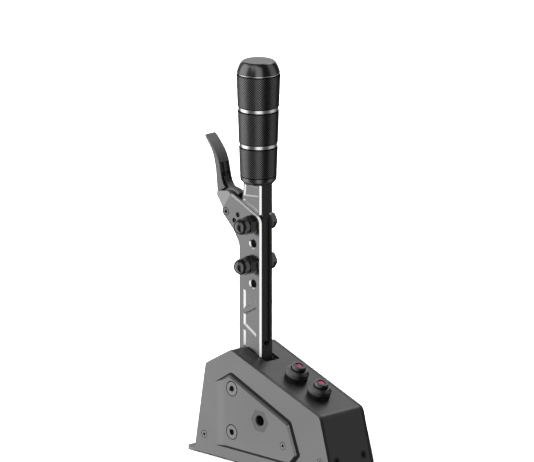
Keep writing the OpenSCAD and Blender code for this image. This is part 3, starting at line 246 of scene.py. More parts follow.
def made_from(name, solid, large_faces=True):
    """A new object with a merged copy of the solid's mesh."""
    piece = bpy.data.objects.new(name, nodes[solid].data.copy())
    piece.data.name = name
    piece.data.materials.clear()
    scene.collection.objects.link(piece)
    activate(piece)
    bpy.ops.mesh.customdata_custom_splitnormals_clear()
    bpy.ops.object.mode_set(mode="EDIT")
    bpy.ops.mesh.select_all(action="SELECT")
    bpy.ops.mesh.remove_doubles(threshold=1e-6)
    if large_faces:
        bpy.ops.mesh.dissolve_limited(angle_limit=math.radians(0.6))
    bpy.ops.object.mode_set(mode="OBJECT")
    return piece


def smooth(piece, angle=30):
    """Smooth shading up to the angle, with flat faces that stay flat."""
    activate(piece)
    bpy.ops.object.shade_smooth_by_angle(angle=math.radians(angle))
    even = piece.modifiers.new("flat_faces_stay_flat", "WEIGHTED_NORMAL")
    even.weight = 100
    even.keep_sharp = True
    bpy.ops.object.modifier_apply(modifier=even.name)


def ease_edges(piece, width, steps=2, angle=28, round_up_to=30, finish=-1):
    """Breaks the edges above an angle. The finish -1 takes that of the faces beside the edge."""
    bevel = piece.modifiers.new("eased_edges", "BEVEL")
    bevel.width = width
    bevel.segments = steps
    bevel.limit_method = "ANGLE"
    bevel.angle_limit = math.radians(angle)
    bevel.miter_outer = "MITER_ARC"
    bevel.material = finish
    activate(piece)
    bpy.ops.object.modifier_apply(modifier=bevel.name)
    smooth(piece, round_up_to)


def settle(piece, body, replaced):
    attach(piece, body)
    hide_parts(replaced)


flange_start = 0.078
slot_start, slot_end, slot_reach = 0.0855, 0.0968, 0.0195
upright = 0.3


def long_side(centre, normal):
    return abs(normal.y) > straight and abs(centre.x) < flange_start


def slot_wall(centre, normal):
    return abs(normal.z) < upright and slot_start < abs(centre.x) < slot_end and abs(centre.y) < slot_reach


base_coat = powder_coat("black_powder_coat_base", "#393939", 0.45)
painted_edge_shade = powder_coat("painted_shade_on_edges_and_slots", "#0b0b0b", 0.6)
bottom = made_from("slotted_base_plate", "base_plate")
give(bottom, base_coat, painted_edge_shade)
# its long sides and the walls of its slots are painted near black, a painted shade
other_finish(bottom, long_side)
other_finish(bottom, slot_wall)
ease_edges(bottom, 0.0003)
settle(bottom, "base", "base_plate")


# Folded cover and rear closing plate
# One sheet of 2 mm steel, folded to the wedge's outline, with a slot for the lever and two button holes, and
# a flat plate screwed over the rear. Their powder coat rounds the edges, and the cover's rounds are painted
# lighter as a thin painted highlight.
cover_coat = powder_coat("black_powder_coat_cover", "#2a2a2a", 0.3, ior=1.5)
painted_edge_highlight = powder_coat("painted_highlight_on_rounded_edges", "#565656", 0.3, ior=1.5)
folded = made_from("folded_cover", "top_cover")
give(folded, cover_coat, painted_edge_shade, painted_edge_highlight)
# the narrow sides of the sheet are painted near black, a painted shade
other_finish(folded, lambda centre, normal: abs(normal.y) > straight)
# the rounds of its edges are painted lighter, a painted highlight
ease_edges(folded, 0.0006, steps=3, finish=2)
settle(folded, "base", "top_cover")

closing = made_from("rear_closing_plate", "rear_cover")
give(closing, cover_coat)
ease_edges(closing, 0.0003)
settle(closing, "base", "rear_cover")


# Side plates
# Milled aluminium plates with a raised panel, blasted and anodised black, soft grey in strong light.
# Their edges are broken by a fine chamfer, which the photograph shows as dark thin lines; the chamfers are
# painted near black as shade.
def anodised(name, light, dark, rough):
    """A soft satin black with a fine grain."""
    material = new_material(name)
    place = add_node(material, "ShaderNodeTexCoord").outputs["Object"]
    # pits left by the blasting, real ones about 0.1 mm across, drawn at 0.4 mm so that they show
    pits = add_node(material, "ShaderNodeTexNoise", {
        "Vector": place, "Scale": 2600.0, "Detail": 3.0, "Roughness": 0.6})
    # faint differences of tone from the bath over about 40 mm
    tone = add_node(material, "ShaderNodeTexNoise", {"Vector": place, "Scale": 25.0, "Detail": 2.0})
    ramp = add_node(material, "ShaderNodeValToRGB", {"Fac": tone.outputs["Fac"]})
    for stop, (at, colour) in zip(ramp.color_ramp.elements, ((0.35, dark), (0.65, light))):
        stop.position = at
        stop.color = linear(colour)
    bump = add_node(material, "ShaderNodeBump", {
        "Strength": 0.1, "Distance": 0.00005, "Height": pits.outputs["Fac"]})
    gloss = add_node(material, "ShaderNodeMapRange", {
        "Value": pits.outputs["Fac"], "To Min": rough - 0.05, "To Max": rough + 0.05})
    return finish_material(material, add_node(material, "ShaderNodeBsdfPrincipled", {
        "Base Color": ramp.outputs["Color"], "Roughness": gloss.outputs[0], "IOR": 1.38,
        "Normal": bump.outputs[0]}))


plate_finish = anodised("blasted_black_anodised_aluminium", "#373737", "#353535", 0.5)
wall_shade = anodised("painted_shade_on_panel_bevel", "#262626", "#242424", 0.5)
# near black: painted shade on broken edges, recesses and the plates' foot, and the black of the small screws
# and pins
edge_shade = anodised("near_black_and_painted_shade", "#0a0a0a", "#080808", 0.6)
wall_sheen = anodised("anodised_bevel_in_the_light", "#626262", "#5e5e5e", 0.45)
foot_of_bevel = 0.0013
shade_top = 0.0018
front_of_panel = 0.03
# the sideways share of a bevel's normal, and the shares from which it looks forward or down
bevel_from, bevel_to = 0.3, 0.93
forward, down = 0.55, -0.3


def panel_bevel(centre, normal):
    return bevel_from < abs(normal.y) < bevel_to


def front_bevel(centre, normal):
    return panel_bevel(centre, normal) and normal.x > forward and centre.x > front_of_panel


for side, outward_y in (("left", -1), ("right", 1)):
    plate = made_from(side + "_plate", side + "_side_plate")
    give(plate, plate_finish, wall_shade, edge_shade, wall_sheen)
    # the foot of the panel's bevel is in its own shade, a dark line beside the lighter upper half
    panel_face = max(abs(vertex.co.y) for vertex in plate.data.vertices)
    foot_line = panel_face - foot_of_bevel
    bpy.ops.object.mode_set(mode="EDIT")
    bpy.ops.mesh.select_all(action="SELECT")
    bpy.ops.mesh.bisect(plane_co=(0, outward_y * foot_line, 0), plane_no=(0, 1, 0))
    bpy.ops.mesh.select_all(action="SELECT")
    bpy.ops.mesh.bisect(plane_co=(0, 0, shade_top), plane_no=(0, 0, 1))
    bpy.ops.object.mode_set(mode="OBJECT")
    # the panel's bevel is painted darker, a painted shade, and the part of it that faces forward lighter, as
    # painted light
    other_finish(plate, panel_bevel)
    other_finish(plate, front_bevel, 3)
    other_finish(plate, lambda centre, normal: panel_bevel(centre, normal)
                 and (normal.z < down or abs(centre.y) < foot_line), 2)
    # the lower edge is in the shade of the gap over the ground
    other_finish(plate, lambda centre, normal: centre.z < shade_top, 2)
    ease_edges(plate, 0.0006, finish=2)
    settle(plate, "base", side + "_side_plate")


# Lever
# A milled aluminium fork and the bar that slides in it, blasted and anodised black. The chamfers of their
# edges, pockets and spare holes are cut after anodising, so that they show bare bright metal.
def cut_metal(name, colour, rough):
    """Bare metal with a slightly uneven shine."""
    material = new_material(name)
    place = add_node(material, "ShaderNodeTexCoord").outputs["Object"]
    # cutter marks, real ones 0.05 mm apart, drawn at 0.5 mm so that they show
    marks = add_node(material, "ShaderNodeTexNoise", {"Vector": place, "Scale": 2000.0, "Detail": 1.0})
    gloss = add_node(material, "ShaderNodeMapRange", {
        "Value": marks.outputs["Fac"], "To Min": rough, "To Max": rough + 0.1})
    return finish_material(material, add_node(material, "ShaderNodeBsdfPrincipled", {
        "Base Color": linear(colour), "Metallic": 1.0, "Roughness": gloss.outputs[0]}))


mm = 0.001


def turned(name, profile, around):
    """A body of rotation about the vertical axis. The profile holds (radius, height) in millimetres."""
    points = [(r * mm, z * mm) for r, z in profile]
    bpy.ops.object.select_all(action="DESELECT")
    bpy.ops.mesh.primitive_circle_add(vertices=around, radius=points[0][0], location=(0, 0, 0))
    piece = bpy.context.object
    piece.name = name
    piece.data.name = name
    bpy.ops.object.mode_set(mode="EDIT")
    bpy.ops.mesh.select_all(action="SELECT")
    bpy.ops.transform.translate(value=(0, 0, points[0][1]))
    for (r0, z0), (r1, z1) in zip(points, points[1:]):
        bpy.ops.mesh.extrude_region_move(TRANSFORM_OT_translate={"value": (0, 0, z1 - z0)})
        bpy.ops.transform.resize(value=(r1 / r0, r1 / r0, 1), center_override=(0, 0, 0))
    if points[0] != points[-1]:
        bpy.ops.mesh.edge_face_add()
        bpy.ops.mesh.select_all(action="DESELECT")
        bpy.ops.mesh.select_non_manifold()
        bpy.ops.mesh.edge_face_add()
    bpy.ops.mesh.select_all(action="SELECT")
    bpy.ops.mesh.remove_doubles(threshold=1e-7)
    bpy.ops.mesh.normals_make_consistent(inside=False)
    bpy.ops.object.mode_set(mode="OBJECT")
    return piece


def place_in_mesh(piece, matrix):
    activate(piece)
    piece.matrix_world = matrix
    bpy.ops.object.transform_apply(location=True, rotation=True, scale=True)


def joined(name, pieces):
    bpy.ops.object.select_all(action="DESELECT")
    for piece in pieces:
        piece.select_set(True)
    bpy.context.view_layer.objects.active = pieces[0]
    bpy.ops.object.join()
    whole = bpy.context.object
    whole.name = name
    whole.data.name = name
    return whole


lever_finish = anodised("blasted_black_anodised_lever", "#383838", "#363636", 0.5)
lever_sheen = anodised("anodised_lever_in_the_light", "#474747", "#454545", 0.45)
bare_cut = cut_metal("diamond_cut_bare_aluminium", "#eeeeee", 0.24)
lever_half = 0.0073
chamfer_depth = 0.0016
sloping = 0.5
above_base = 0.085
axle_x, axle_z = -0.06245, 0.2049
recess_r = 0.007
# the near cheek's nose is painted lighter beyond this slanting line, as painted light
nose_from, nose_to = Vector((-0.06605, 0, 0.2072)), Vector((-0.05695, 0, 0.2208))
nose_side = Vector((nose_from.z - nose_to.z, 0, nose_to.x - nose_from.x)).normalized()
nose_front, nose_low = -0.055, 0.19


def in_recess(centre):
    return math.hypot(centre.x - axle_x, centre.z - axle_z) < recess_r


def recess_edge(centre, normal):
    return in_recess(centre) and abs(normal.y) < straight


def slopes(normal):
    return sloping < abs(normal.y) < straight


def bare_chamfer(centre, normal):
    outside = centre.z > above_base and abs(centre.y) > lever_half - chamfer_depth
    return slopes(normal) and outside and not in_recess(centre)


def front_of_lever(centre, normal):
    return normal.x > straight and centre.z > above_base


def near_nose(centre, normal):
    return normal.y < -straight and centre.x < nose_front and (centre - nose_from).dot(nose_side) > 0


fork = made_from("lever_fork_milled", "lever_fork", large_faces=False)
for face in fork.data.polygons:
    face.select = face.normal.y < -straight and face.center.z > nose_low and face.center.x < nose_front
bpy.ops.object.mode_set(mode="EDIT")
bpy.ops.mesh.bisect(plane_co=nose_from, plane_no=nose_side)
bpy.ops.object.mode_set(mode="OBJECT")
bar = made_from("height_bar_milled", "height_bar", large_faces=False)
for piece in (fork, bar):
    give(piece, lever_finish, bare_cut, edge_shade, lever_sheen)
    # the front faces and the near cheek's nose are painted lighter, as painted light
    other_finish(piece, front_of_lever, 3)
    other_finish(piece, near_nose, 3)
    other_finish(piece, bare_chamfer)
    # the walls of the recess round the trigger's axle are painted near black, a painted shade
    other_finish(piece, recess_edge, 2)
    smooth(piece, 28)
settle(bar, "lever", "height_bar")

# the spare holes of the fork have a bright countersunk rim on both sides
bolt_x = -0.03095
spare_heights = (0.1832, 0.1494)
toward_left = Matrix.Rotation(math.radians(90), 4, "X")
toward_right = Matrix.Rotation(math.radians(-90), 4, "X")
rim_depth = 0.0011
rim_profile = [(3.35, -1.07), (4.36, -0.04), (4.42, -0.04), (4.7, -0.4), (4.7, -3.9), (3.35, -3.9),
               (3.35, -1.07)]
rims = []
for height in spare_heights:
    for outward_y, facing_out in ((-1, toward_left), (1, toward_right)):
        rim = turned("hole_rim", rim_profile, 48)
        place_in_mesh(rim, Matrix.Translation((bolt_x, outward_y * lever_half, height)) @ facing_out)
        rims.append(rim)
rims = joined("hole_rims", rims)
give(rims, lever_finish, bare_cut)
other_finish(rims, lambda centre, normal: slopes(normal) and abs(centre.y) > lever_half - rim_depth)
smooth(rims, 30)
fork = joined("lever_fork_milled", [fork, rims])
settle(fork, "lever", "lever_fork")


# Black steel hardware on the lever
# Two bolts go through lever and bar, with a washer on each side and a domed nut on the near side.
# All are oil-blackened steel with a soft shine, and the hexagons have their corners turned off.
def plain_finish(name, colour, rough, metallic=0.0, grain=1500.0, unevenness=0.06, **sockets):
    """One colour with a shine that varies a little over the surface."""
    material = new_material(name)
    place = add_node(material, "ShaderNodeTexCoord").outputs["Object"]
    # handling marks, real ones finer than 0.3 mm, drawn 0.7 to 1.4 mm wide so that they show
    wear = add_node(material, "ShaderNodeTexNoise", {
        "Vector": place, "Scale": grain, "Detail": 3.0, "Roughness": 0.55})
    gloss = add_node(material, "ShaderNodeMapRange", {
        "Value": wear.outputs["Fac"], "From Min": 0.3, "From Max": 0.7,
        "To Min": max(rough - unevenness, 0.03), "To Max": rough + unevenness})
    bump = add_node(material, "ShaderNodeBump", {
        "Strength": 0.08, "Distance": 0.00005, "Height": wear.outputs["Fac"]})
    return finish_material(material, add_node(material, "ShaderNodeBsdfPrincipled", {
        "Base Color": linear(colour), "Roughness": gloss.outputs[0], "Metallic": metallic,
        "Normal": bump.outputs[0], **sockets}))


def keep_inside(piece, envelope):
    """Turns the piece's corners off: it keeps what lies inside the envelope, which is then deleted."""
    cut = piece.modifiers.new("turned_corners", "BOOLEAN")
    cut.operation = "INTERSECT"
    cut.solver = "EXACT"
    cut.object = envelope
    bpy.context.view_layer.objects.active = piece
    bpy.ops.object.modifier_apply(modifier=cut.name)
    bpy.data.objects.remove(envelope)


bolt_heights = (0.2001, 0.1663)
washer_t = 0.0016
washer_face = lever_half + washer_t
black_steel = plain_finish("oil_blackened_steel", "#070707", 0.17, unevenness=0.02, IOR=1.95)


def hexagon(name, across, low, high):
    """A six-sided bar about the vertical axis, with corners up and down once it lies on its side."""
    bpy.ops.object.select_all(action="DESELECT")
    bpy.ops.mesh.primitive_cylinder_add(vertices=6, radius=across / math.sqrt(3) * mm,
                                        depth=(high - low) * mm, location=(0, 0, 0))
    hexed = bpy.context.object
    hexed.name = name
    bpy.ops.object.mode_set(mode="EDIT")
    bpy.ops.mesh.select_all(action="SELECT")
    bpy.ops.transform.translate(value=(0, 0, (high + low) / 2 * mm))
    bpy.ops.object.mode_set(mode="OBJECT")
    return hexed


dull_black = plain_finish("dull_flats_of_the_hexagon", "#060606", 0.3, unevenness=0.03, IOR=1.5)
nut_across = 13.6
nut_gap = 0.02
hexagon_h = 7.2
dome_r, dome_from = 6.72, 10.9
smallest_r = 0.25
flats_end = 0.0071
nut_envelope = [(0.5, -0.5), (7.2, -0.5), (7.2, 0), (7.9, 0.5), (7.9, 6.5), (6.8, hexagon_h), (6.8, 8),
                (0.5, 8)]
dome_profile = [(0.5, 7.0), (6.3, 7.0), (6.45, 7.3), (6.65, 7.8), (dome_r, 8.6), (dome_r, dome_from)]
for degrees in range(8, 89, 8):
    turn = math.radians(degrees)
    dome_profile.append((max(dome_r * math.cos(turn), smallest_r), dome_from + dome_r * math.sin(turn)))
nuts = []
for height in bolt_heights:
    flats = hexagon("nut_hexagon", nut_across, nut_gap, hexagon_h)
    keep_inside(flats, turned("nut_envelope", nut_envelope, 72))
    nut = joined("domed_nut", [flats, turned("nut_dome", dome_profile, 72)])
    place_in_mesh(nut, Matrix.Translation((bolt_x, -washer_face, height)) @ toward_left)
    nuts.append(nut)
domed = joined("domed_nuts_blackened", nuts)
give(domed, black_steel, dull_black)
other_finish(domed, lambda centre, normal: -centre.y < washer_face + flats_end)
ease_edges(domed, 0.00018, angle=24, round_up_to=26)
settle(domed, "lever", "acorn_nuts")

head_envelope = [(0.5, -26), (7.6, -26), (7.6, 4.6), (6.7, 5.31), (0.5, 5.31)]
envelopes = []
for height in bolt_heights:
    envelope = turned("head_envelope", head_envelope, 72)
    place_in_mesh(envelope, Matrix.Translation((bolt_x, washer_face, height)) @ toward_right)
    envelopes.append(envelope)
bolts = made_from("hexagon_bolts_blackened", "bar_bolts")
keep_inside(bolts, joined("head_envelopes", envelopes))
give(bolts, black_steel)
ease_edges(bolts, 0.0002, angle=20, round_up_to=26)
settle(bolts, "lever", "bar_bolts")

washers = made_from("flat_washers_blackened", "bar_washers")
give(washers, black_steel)
ease_edges(washers, 0.00025)
settle(washers, "lever", "bar_washers")


# Grip
# Three tapered aluminium sleeves with a diamond knurl rolled into them, anodised black, slide on a tube.
# Two bright turned rings stand between them, and a black collar and a smooth cap close the ends.
grip_axis = -0.03185
grip_low, grip_high = 239.6, 325.9
grip_low_r, grip_high_r = 15.1, 18.1
core_r = 11.02
ring_h = 3.0
sleeve_h = (grip_high - grip_low - 2 * ring_h) / 3
# the rings stand a little lower than at the thirds, as in the photograph
lower_drop, upper_drop = 1.6, 0.9
ring_lows = (grip_low + sleeve_h - lower_drop, grip_low + 2 * sleeve_h + ring_h - upper_drop)
sleeve_ends = ((grip_low, ring_lows[0]), (ring_lows[0] + ring_h, ring_lows[1]),
               (ring_lows[1] + ring_h, grip_high))
diamonds = 52
per_diamond = 4
rows = 52
knurl_depth = 0.00022
bore_limit = 0.0135
slack = 0.0001
end_chamfer = 0.6
ring_inset = 0.6


def grip_r(z):
    return grip_low_r + (grip_high_r - grip_low_r) * (z - grip_low) / (grip_high - grip_low)


def to_axis(piece):
    place_in_mesh(piece, Matrix.Translation((grip_axis, 0, 0)))


def roll_knurl(piece, low, high, pitch):
    """Presses two crossing families of helical grooves into the outside of a turned sleeve."""
    crest = piece.data.attributes.new("crest", "FLOAT", "POINT")
    for vertex in piece.data.vertices:
        x, y, z = vertex.co
        radius = math.hypot(x, y)
        if radius < bore_limit or not low - slack < z < high + slack:
            continue
        across = math.atan2(y, x) / (2 * math.pi) * diamonds
        along = (z - low) / pitch
        hill = min(1 - abs(2 * ((across + along) % 1) - 1), 1 - abs(2 * ((across - along) % 1) - 1))
        crest.data[vertex.index].value = hill
        scale = 1 - knurl_depth * (1 - hill) / radius
        vertex.co.x *= scale
        vertex.co.y *= scale


# rolled diamonds with shiny crests and grooves painted dark and without shine as shade, real ones 1.1 mm
# wide, drawn 2 mm wide so that they show
knurled_black = new_material("knurled_black_anodised_aluminium")
hill_height = add_node(knurled_black, "ShaderNodeAttribute", attribute_name="crest").outputs["Fac"]
painted_groove_shade = add_node(knurled_black, "ShaderNodeValToRGB", {"Fac": hill_height})
for stop, (at, colour) in zip(painted_groove_shade.color_ramp.elements, ((0.2, "#030303"), (0.85, "#2c2c2c"))):
    stop.position = at
    stop.color = linear(colour)
shine = add_node(knurled_black, "ShaderNodeMapRange", {
    "Value": hill_height, "From Min": 0.2, "From Max": 0.8, "To Min": 0.0, "To Max": 0.7})
finish_material(knurled_black, add_node(knurled_black, "ShaderNodeBsdfPrincipled", {
    "Base Color": painted_groove_shade.outputs["Color"], "Roughness": 0.3, "IOR": 2.2,
    "Specular IOR Level": shine.outputs[0]}))

for place, (low, high) in zip(("lower", "middle", "upper"), sleeve_ends):
    first, last = low + end_chamfer, high - end_chamfer
    row_h = (last - first) / rows
    profile = [(core_r, low), (grip_r(low) - end_chamfer, low)]
    profile += [(grip_r(first + i * row_h), first + i * row_h) for i in range(rows + 1)]
    profile += [(grip_r(high) - end_chamfer, high), (core_r, high), (core_r, low)]
    sleeve = turned("knurled_sleeve_" + place, profile, diamonds * per_diamond)
    roll_knurl(sleeve, (first + row_h) * mm, (last - row_h) * mm, per_diamond * row_h * mm)
    to_axis(sleeve)
    give(sleeve, knurled_black)
    smooth(sleeve, 50)
    settle(sleeve, "lever", "grip_sleeve_" + place)


def ring_profile(low, high, edge, lower_lip, upper_lip):
    """A ring that lies deeper than the sleeves, with its corners broken."""
    return [(core_r, low), (grip_r(low) - edge, low), (grip_r(low) - ring_inset, low + lower_lip),
            (grip_r(high) - ring_inset, high - upper_lip), (grip_r(high) - edge, high), (core_r, high),
            (core_r, low)]


ring_metal = cut_metal("polished_turned_aluminium", "#e3e4e6", 0.24)
bands = [turned("band", ring_profile(low, low + ring_h, edge=0.75, lower_lip=0.2, upper_lip=0.2), 96)
         for low in ring_lows]
rings = joined("bright_grip_rings", bands)
to_axis(rings)
give(rings, ring_metal)
smooth(rings)
settle(rings, "lever", "grip_rings")

top_ring_high = 326.7
line_profile = ring_profile(grip_high, top_ring_high, edge=0.7, lower_lip=0.15, upper_lip=0.1)
line = turned("bright_line_under_cap", line_profile, 96)
to_axis(line)
give(line, ring_metal)
smooth(line)
settle(line, "lever", "grip_top_ring")

smooth_black = plain_finish("smooth_black_anodised_aluminium", "#121212", 0.24, unevenness=0.03, IOR=2.0)
collar_profile = [(core_r, 233.8), (12.1, 233.8), (12.4, 233.95), (14.5, 236.4), (14.65, 236.7),
                  (15.05, 239.4), (15.0, grip_low), (core_r, grip_low), (core_r, 233.8)]
collar = turned("chamfered_grip_collar", collar_profile, 96)
to_axis(collar)
give(collar, smooth_black)
smooth(collar)
settle(collar, "lever", "grip_collar")

gloss_black = plain_finish("smooth_black_cap", "#101010", 0.2, unevenness=0.03, IOR=2.0)
cap_profile = [(0.4, 318.8), (6.8, 318.8), (6.95, 319.0), (6.95, top_ring_high), (17.1, top_ring_high),
               (17.55, 326.85), (17.72, 327.2), (17.55, 328.2), (17.3, 328.9), (16.75, 330.6), (16.1, 332.1),
               (15.45, 333.6), (14.8, 334.7), (14.2, 335.5), (13.7, 336.0), (13.3, 336.25), (12.9, 336.4),
               (12.6, 336.6), (0.4, 336.6)]
cap = turned("smooth_grip_cap", cap_profile, 96)
to_axis(cap)
give(cap, gloss_black)
smooth(cap, 24)
settle(cap, "lever", "grip_cap")


# Trigger
# A curved finger lever milled from aluminium, blasted and anodised like the fork, with a wide smooth pad
# and two long recesses beside a rib. Two runners lead from them down between the fork's cheeks.
finger_finish = anodised("blasted_black_anodised_trigger", "#303030", "#2e2e2e", 0.5)
painted_pad_light = anodised("pad_painted_lighter_as_light", "#6a6a6a", "#626262", 0.4)
finger = made_from("finger_trigger", "trigger")
# its lower end laps over the back of the fork's nose
cheek_y = 0.005
lower_end = 0.2216
back_x, back_drop, front_drop = -0.0745, 0.0024, 0.0007
for vertex in finger.data.vertices:
    if abs(vertex.co.y) > cheek_y and vertex.co.z < lower_end:
        vertex.co.z -= back_drop if vertex.co.x < back_x else front_drop
# the corners of its tip are rounded
tip = max(vertex.co.z for vertex in finger.data.vertices)
tip_h = 0.003
bpy.ops.object.mode_set(mode="EDIT")
bpy.ops.mesh.select_mode(type="EDGE")
bpy.ops.mesh.select_all(action="DESELECT")
bpy.ops.object.mode_set(mode="OBJECT")
for edge in finger.data.edges:
    one, other = (finger.data.vertices[index].co for index in edge.vertices)
    through_tip = abs(one.y - other.y) < 0.01 * mm and abs(one.x - other.x) > mm
    edge.select = min(one.z, other.z) > tip - tip_h and through_tip
bpy.ops.object.mode_set(mode="EDIT")
bpy.ops.mesh.bevel(offset=0.0018, segments=5, affect="EDGES")
bpy.ops.object.mode_set(mode="OBJECT")
# outline of a runner seen from the side, in millimetres
runner_outline = ((-69.8, 232.5), (-68.2, 229.2), (-66.2, 226.9), (-63.6, 225.4), (-60.4, 224.6),
                  (-57.2, 224.0), (-54.0, 223.0), (-51.4, 221.6), (-51.9, 220.2), (-56.0, 221.3),
                  (-60.0, 222.2), (-64.0, 223.0), (-68.0, 225.5), (-71.5, 232.5))
parts = [finger]
for low_y, high_y in ((-2.9, -0.3), (0.3, 2.9)):
    bpy.ops.object.select_all(action="DESELECT")
    bpy.ops.mesh.primitive_circle_add(vertices=len(runner_outline), radius=0.01, location=(0, 0, 0))
    runner = bpy.context.object
    for vertex, (x, z) in zip(runner.data.vertices, runner_outline):
        vertex.co = (x * mm, low_y * mm, z * mm)
    bpy.ops.object.mode_set(mode="EDIT")
    bpy.ops.mesh.select_all(action="SELECT")
    bpy.ops.mesh.edge_face_add()
    bpy.ops.mesh.extrude_region_move(TRANSFORM_OT_translate={"value": (0, (high_y - low_y) * mm, 0)})
    bpy.ops.mesh.select_all(action="SELECT")
    bpy.ops.mesh.normals_make_consistent(inside=False)
    bpy.ops.object.mode_set(mode="OBJECT")
    parts.append(runner)
finger = joined("finger_trigger", parts)
give(finger, finger_finish, painted_pad_light)
pad_low, pad_forward = 0.2355, 0.35
# the pad, which faces forward and up, is painted lighter, as painted light
other_finish(finger, lambda centre, normal: normal.x > pad_forward and centre.z > pad_low)
ease_edges(finger, 0.0003, angle=25, round_up_to=34)
settle(finger, "trigger", "trigger")


# Push buttons
# Each has a threaded black collar with a chamfer and a ribbed lower band, a round cap that moves in it
# and a small red lens sunk in the cap. They are moulded plastic, satin on the collar and shinier on the cap.
def moulded(name, colour, rough, ior):
    return plain_finish(name, colour, rough, grain=900.0, unevenness=0.04, IOR=ior)


collar_plastic = moulded("satin_black_collar", "#292929", 0.34, 1.6)
foot_plastic = moulded("dull_black_collar_foot", "#0e0e0e", 0.5, 1.4)
cap_plastic = moulded("gloss_black_button", "#2e2e2e", 0.3, 1.5)
lens_plastic = moulded("clear_red_lens", "#9c1f4a", 0.35, 1.4)
lean = math.radians(19.36)
outward = Vector((math.sin(lean), 0, math.cos(lean)))
lens_height = 0.01107
collar_top = 8.5
mouth, seat, inside, barrel = 6.1, 4.5, 7.3, -12.0
collar_outline = [(mouth + 0.25, collar_top), (7.7, collar_top), (7.9, 8.4), (9.45, 6.9), (9.7, 6.5),
                  (9.7, 3.4), (9.45, 3.2), (9.45, 3.0), (9.6, 2.8), (9.6, 0.35), (9.5, 0.1), (8.0, 0.1),
                  (8.0, -1.6), (7.95, barrel), (inside, barrel), (inside, seat), (mouth, seat),
                  (mouth, collar_top - 0.25), (mouth + 0.25, collar_top)]
collar_points = 144
foot_high = 0.0032
rib_low, rib_high, rib_r, rib_depth = 0.0003, 0.0029, 0.0096, 0.00022
cap_top = 12.2
push_outline = [(0.3, -4), (2, -4), (2, 1.2), (7.0, 1.2), (7.0, 4.2), (5.2, 4.2), (5.2, cap_top - 2.4),
                (5.8, cap_top - 2.1), (5.95, cap_top - 1.8), (5.95, cap_top - 0.7), (5.75, cap_top - 0.3),
                (5.3, cap_top), (3.5, cap_top), (3.15, cap_top - 0.4), (2.85, cap_top - 0.9),
                (2.85, cap_top - 2), (0.3, cap_top - 2)]
lens_outline = [(0.3, cap_top - 1.98), (2.8, cap_top - 1.98), (2.8, cap_top - 0.95), (2.6, cap_top - 0.75),
                (2.2, cap_top - 0.65), (1.5, cap_top - 0.57), (0.8, cap_top - 0.53), (0.3, cap_top - 0.52)]


def rib_band(piece):
    """Lowers every second row of points of the collar's foot, which leaves straight ribs."""
    for vertex in piece.data.vertices:
        x, y, z = vertex.co
        radius = math.hypot(x, y)
        point = round(math.atan2(y, x) / (2 * math.pi) * collar_points)
        if radius > rib_r and rib_low < z < rib_high and point % 2:
            vertex.co.x *= 1 - rib_depth / radius
            vertex.co.y *= 1 - rib_depth / radius


collars = []
for number in (1, 2):
    low_corner, high_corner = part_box("button_lens_%d" % number)
    foot = (Vector(low_corner) + Vector(high_corner)) / 2 - outward * lens_height
    to_slope = Matrix.Translation(foot) @ Matrix.Rotation(lean, 4, "Y")
    housing = turned("collar", collar_outline, collar_points)
    give(housing, collar_plastic, foot_plastic)
    other_finish(housing, lambda centre, normal: centre.z < foot_high)
    rib_band(housing)
    place_in_mesh(housing, to_slope)
    collars.append(housing)
    push = turned("push_cap_%d" % number, push_outline, 72)
    place_in_mesh(push, to_slope)
    give(push, cap_plastic)
    smooth(push, 34)
    settle(push, "button_%d" % number, "button_plunger_%d" % number)
    lens = turned("red_lens_%d" % number, lens_outline, 48)
    place_in_mesh(lens, to_slope)
    give(lens, lens_plastic)
    smooth(lens, 45)
    settle(lens, "button_%d" % number, "button_lens_%d" % number)

both_collars = joined("threaded_button_collars", collars)
smooth(both_collars, 25)
settle(both_collars, "base", "button_housings")


# Screws and nuts of the base, and the trigger's screw
# Countersunk socket screws of blackened steel hold the side plates and the trigger, and pressed-in nuts take
# the rig's bolts. The small screws of the cover and under the base are darker.
def cover_node(material, *names):
    """Gives a finish to solids that are carried over."""
    for name in names:
        for place in nodes[name].material_slots:
            place.material = material


dull_steel = plain_finish("blackened_screw_steel", "#3a3a3a", 0.45, IOR=1.4)
grey_steel = plain_finish("phosphated_steel", "#2a2a2a", 0.45, IOR=1.4)
within_head = 0.004
below_flat = 0.0003


def below_head(screws, centre):
    """True for what lies deeper than the flat of its own screw's head: the socket, the rim and the shank."""
    flat_of_head = max(abs(vertex.co.y) for vertex in screws.data.vertices
                       if math.hypot(vertex.co.x - centre.x, vertex.co.z - centre.z) < within_head
                       and vertex.co.y * centre.y > 0)
    return abs(centre.y) < flat_of_head - below_flat


for name, solid, body, steel, edge_width, edge_finish in (
        ("countersunk_screws_large", "side_screws_large", "base", dull_steel, 0.0006, 1),
        ("countersunk_screws_small", "side_screws_small", "base", dull_steel, 0.00025, 1),
        ("pressed_in_nuts", "side_nuts", "base", grey_steel, 0.0001, -1),
        ("trigger_axle_screw", "trigger_axle", "lever", dull_steel, 0.00055, 1)):
    screws = made_from(name, solid)
    give(screws, steel, edge_shade)
    # on the socket screws the socket, rim and shank, and the broken edges of the head, are painted near
    # black, a painted shade
    if steel is dull_steel:
        other_finish(screws, lambda centre, normal: below_head(screws, centre))
    ease_edges(screws, edge_width, steps=1, finish=edge_finish)
    settle(screws, body, solid)
cover_node(edge_shade, "cover_screws", "rear_cover_screws", "base_screws")


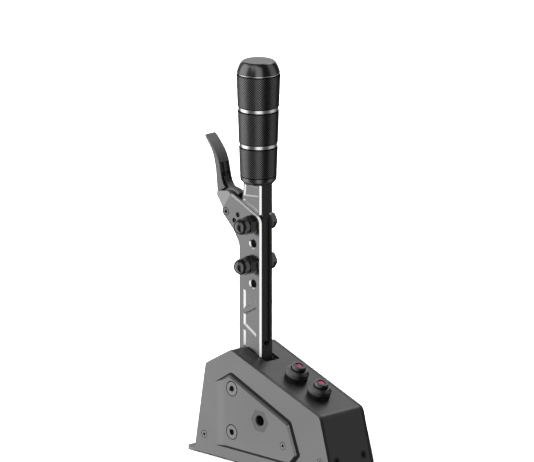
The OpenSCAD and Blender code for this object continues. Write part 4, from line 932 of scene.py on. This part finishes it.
# Inside of the base and of the lever
# Milled aluminium blocks, steel pins and springs, bronze bearings, white acetal caps and circuit boards.
# They show only through the slots and the socket openings, each in the finish such a piece has.
milled = plain_finish("milled_aluminium", "#c3c4c6", 0.32, metallic=1.0, grain=700.0, unevenness=0.1)
ground = plain_finish("ground_steel", "#cbccce", 0.18, metallic=1.0)
bronze = plain_finish("oil_filled_bronze", "#a9804a", 0.4, metallic=1.0)
rubber = plain_finish("moulded_rubber", "#171718", 0.75)
acetal = plain_finish("white_acetal", "#e6e4de", 0.42, IOR=1.48)
nickel = plain_finish("nickel_plated_magnet", "#c9c8c4", 0.15, metallic=1.0)
tin_plate = plain_finish("tinned_socket_shell", "#b9babc", 0.24, metallic=1.0)
black_nylon = plain_finish("black_nylon", "#18181a", 0.42, IOR=1.53)

board = new_material("green_solder_mask")
board_place = add_node(board, "ShaderNodeTexCoord").outputs["Object"]
# copper tracks under the mask, about 0.3 mm wide and 1.4 mm apart, as on real boards
tracks = add_node(board, "ShaderNodeTexBrick", {
    "Vector": board_place, "Color1": linear("#1d5a34"), "Color2": linear("#1a5230"),
    "Mortar": linear("#3b7d4b"), "Scale": 180.0, "Mortar Size": 0.03})
finish_material(board, add_node(board, "ShaderNodeBsdfPrincipled", {
    "Base Color": tracks.outputs["Color"], "Roughness": 0.35, "IOR": 1.5}))

cover_node(milled, "rear_block", "front_block", "cross_spacer", "pivot_spacers", "spring_posts", "grip_core",
           "board_posts", "sensor_posts")
cover_node(ground, "pivot_axle", "stop_pin", "trigger_spring", "button_nuts")
cover_node(bronze, "pivot_bushes")
cover_node(rubber, "stop_sleeve")
cover_node(acetal, "spring_cap_rear", "spring_cap_front")
cover_node(nickel, "sensor_magnet")
cover_node(board, "sensor_board", "main_board", "socket_board")
cover_node(tin_plate, "usb_socket")
cover_node(black_nylon, "data_socket", "button_switches", "trigger_switch")
cover_node(edge_shade, "switch_pins")


# Centring springs
# Two springs wound from hard-drawn steel wire stand on posts of the base plate under the lever's foot.
# Each has its lower end on the base plate and its upper end under its cap.
for end in ("front", "rear"):
    low_corner, high_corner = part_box("centring_spring_" + end)
    spring = made_from("wound_spring_" + end, "centring_spring_" + end, large_faces=False)
    give(spring, ground)
    smooth(spring, 60)
    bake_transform(spring)
    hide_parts("centring_spring_" + end)
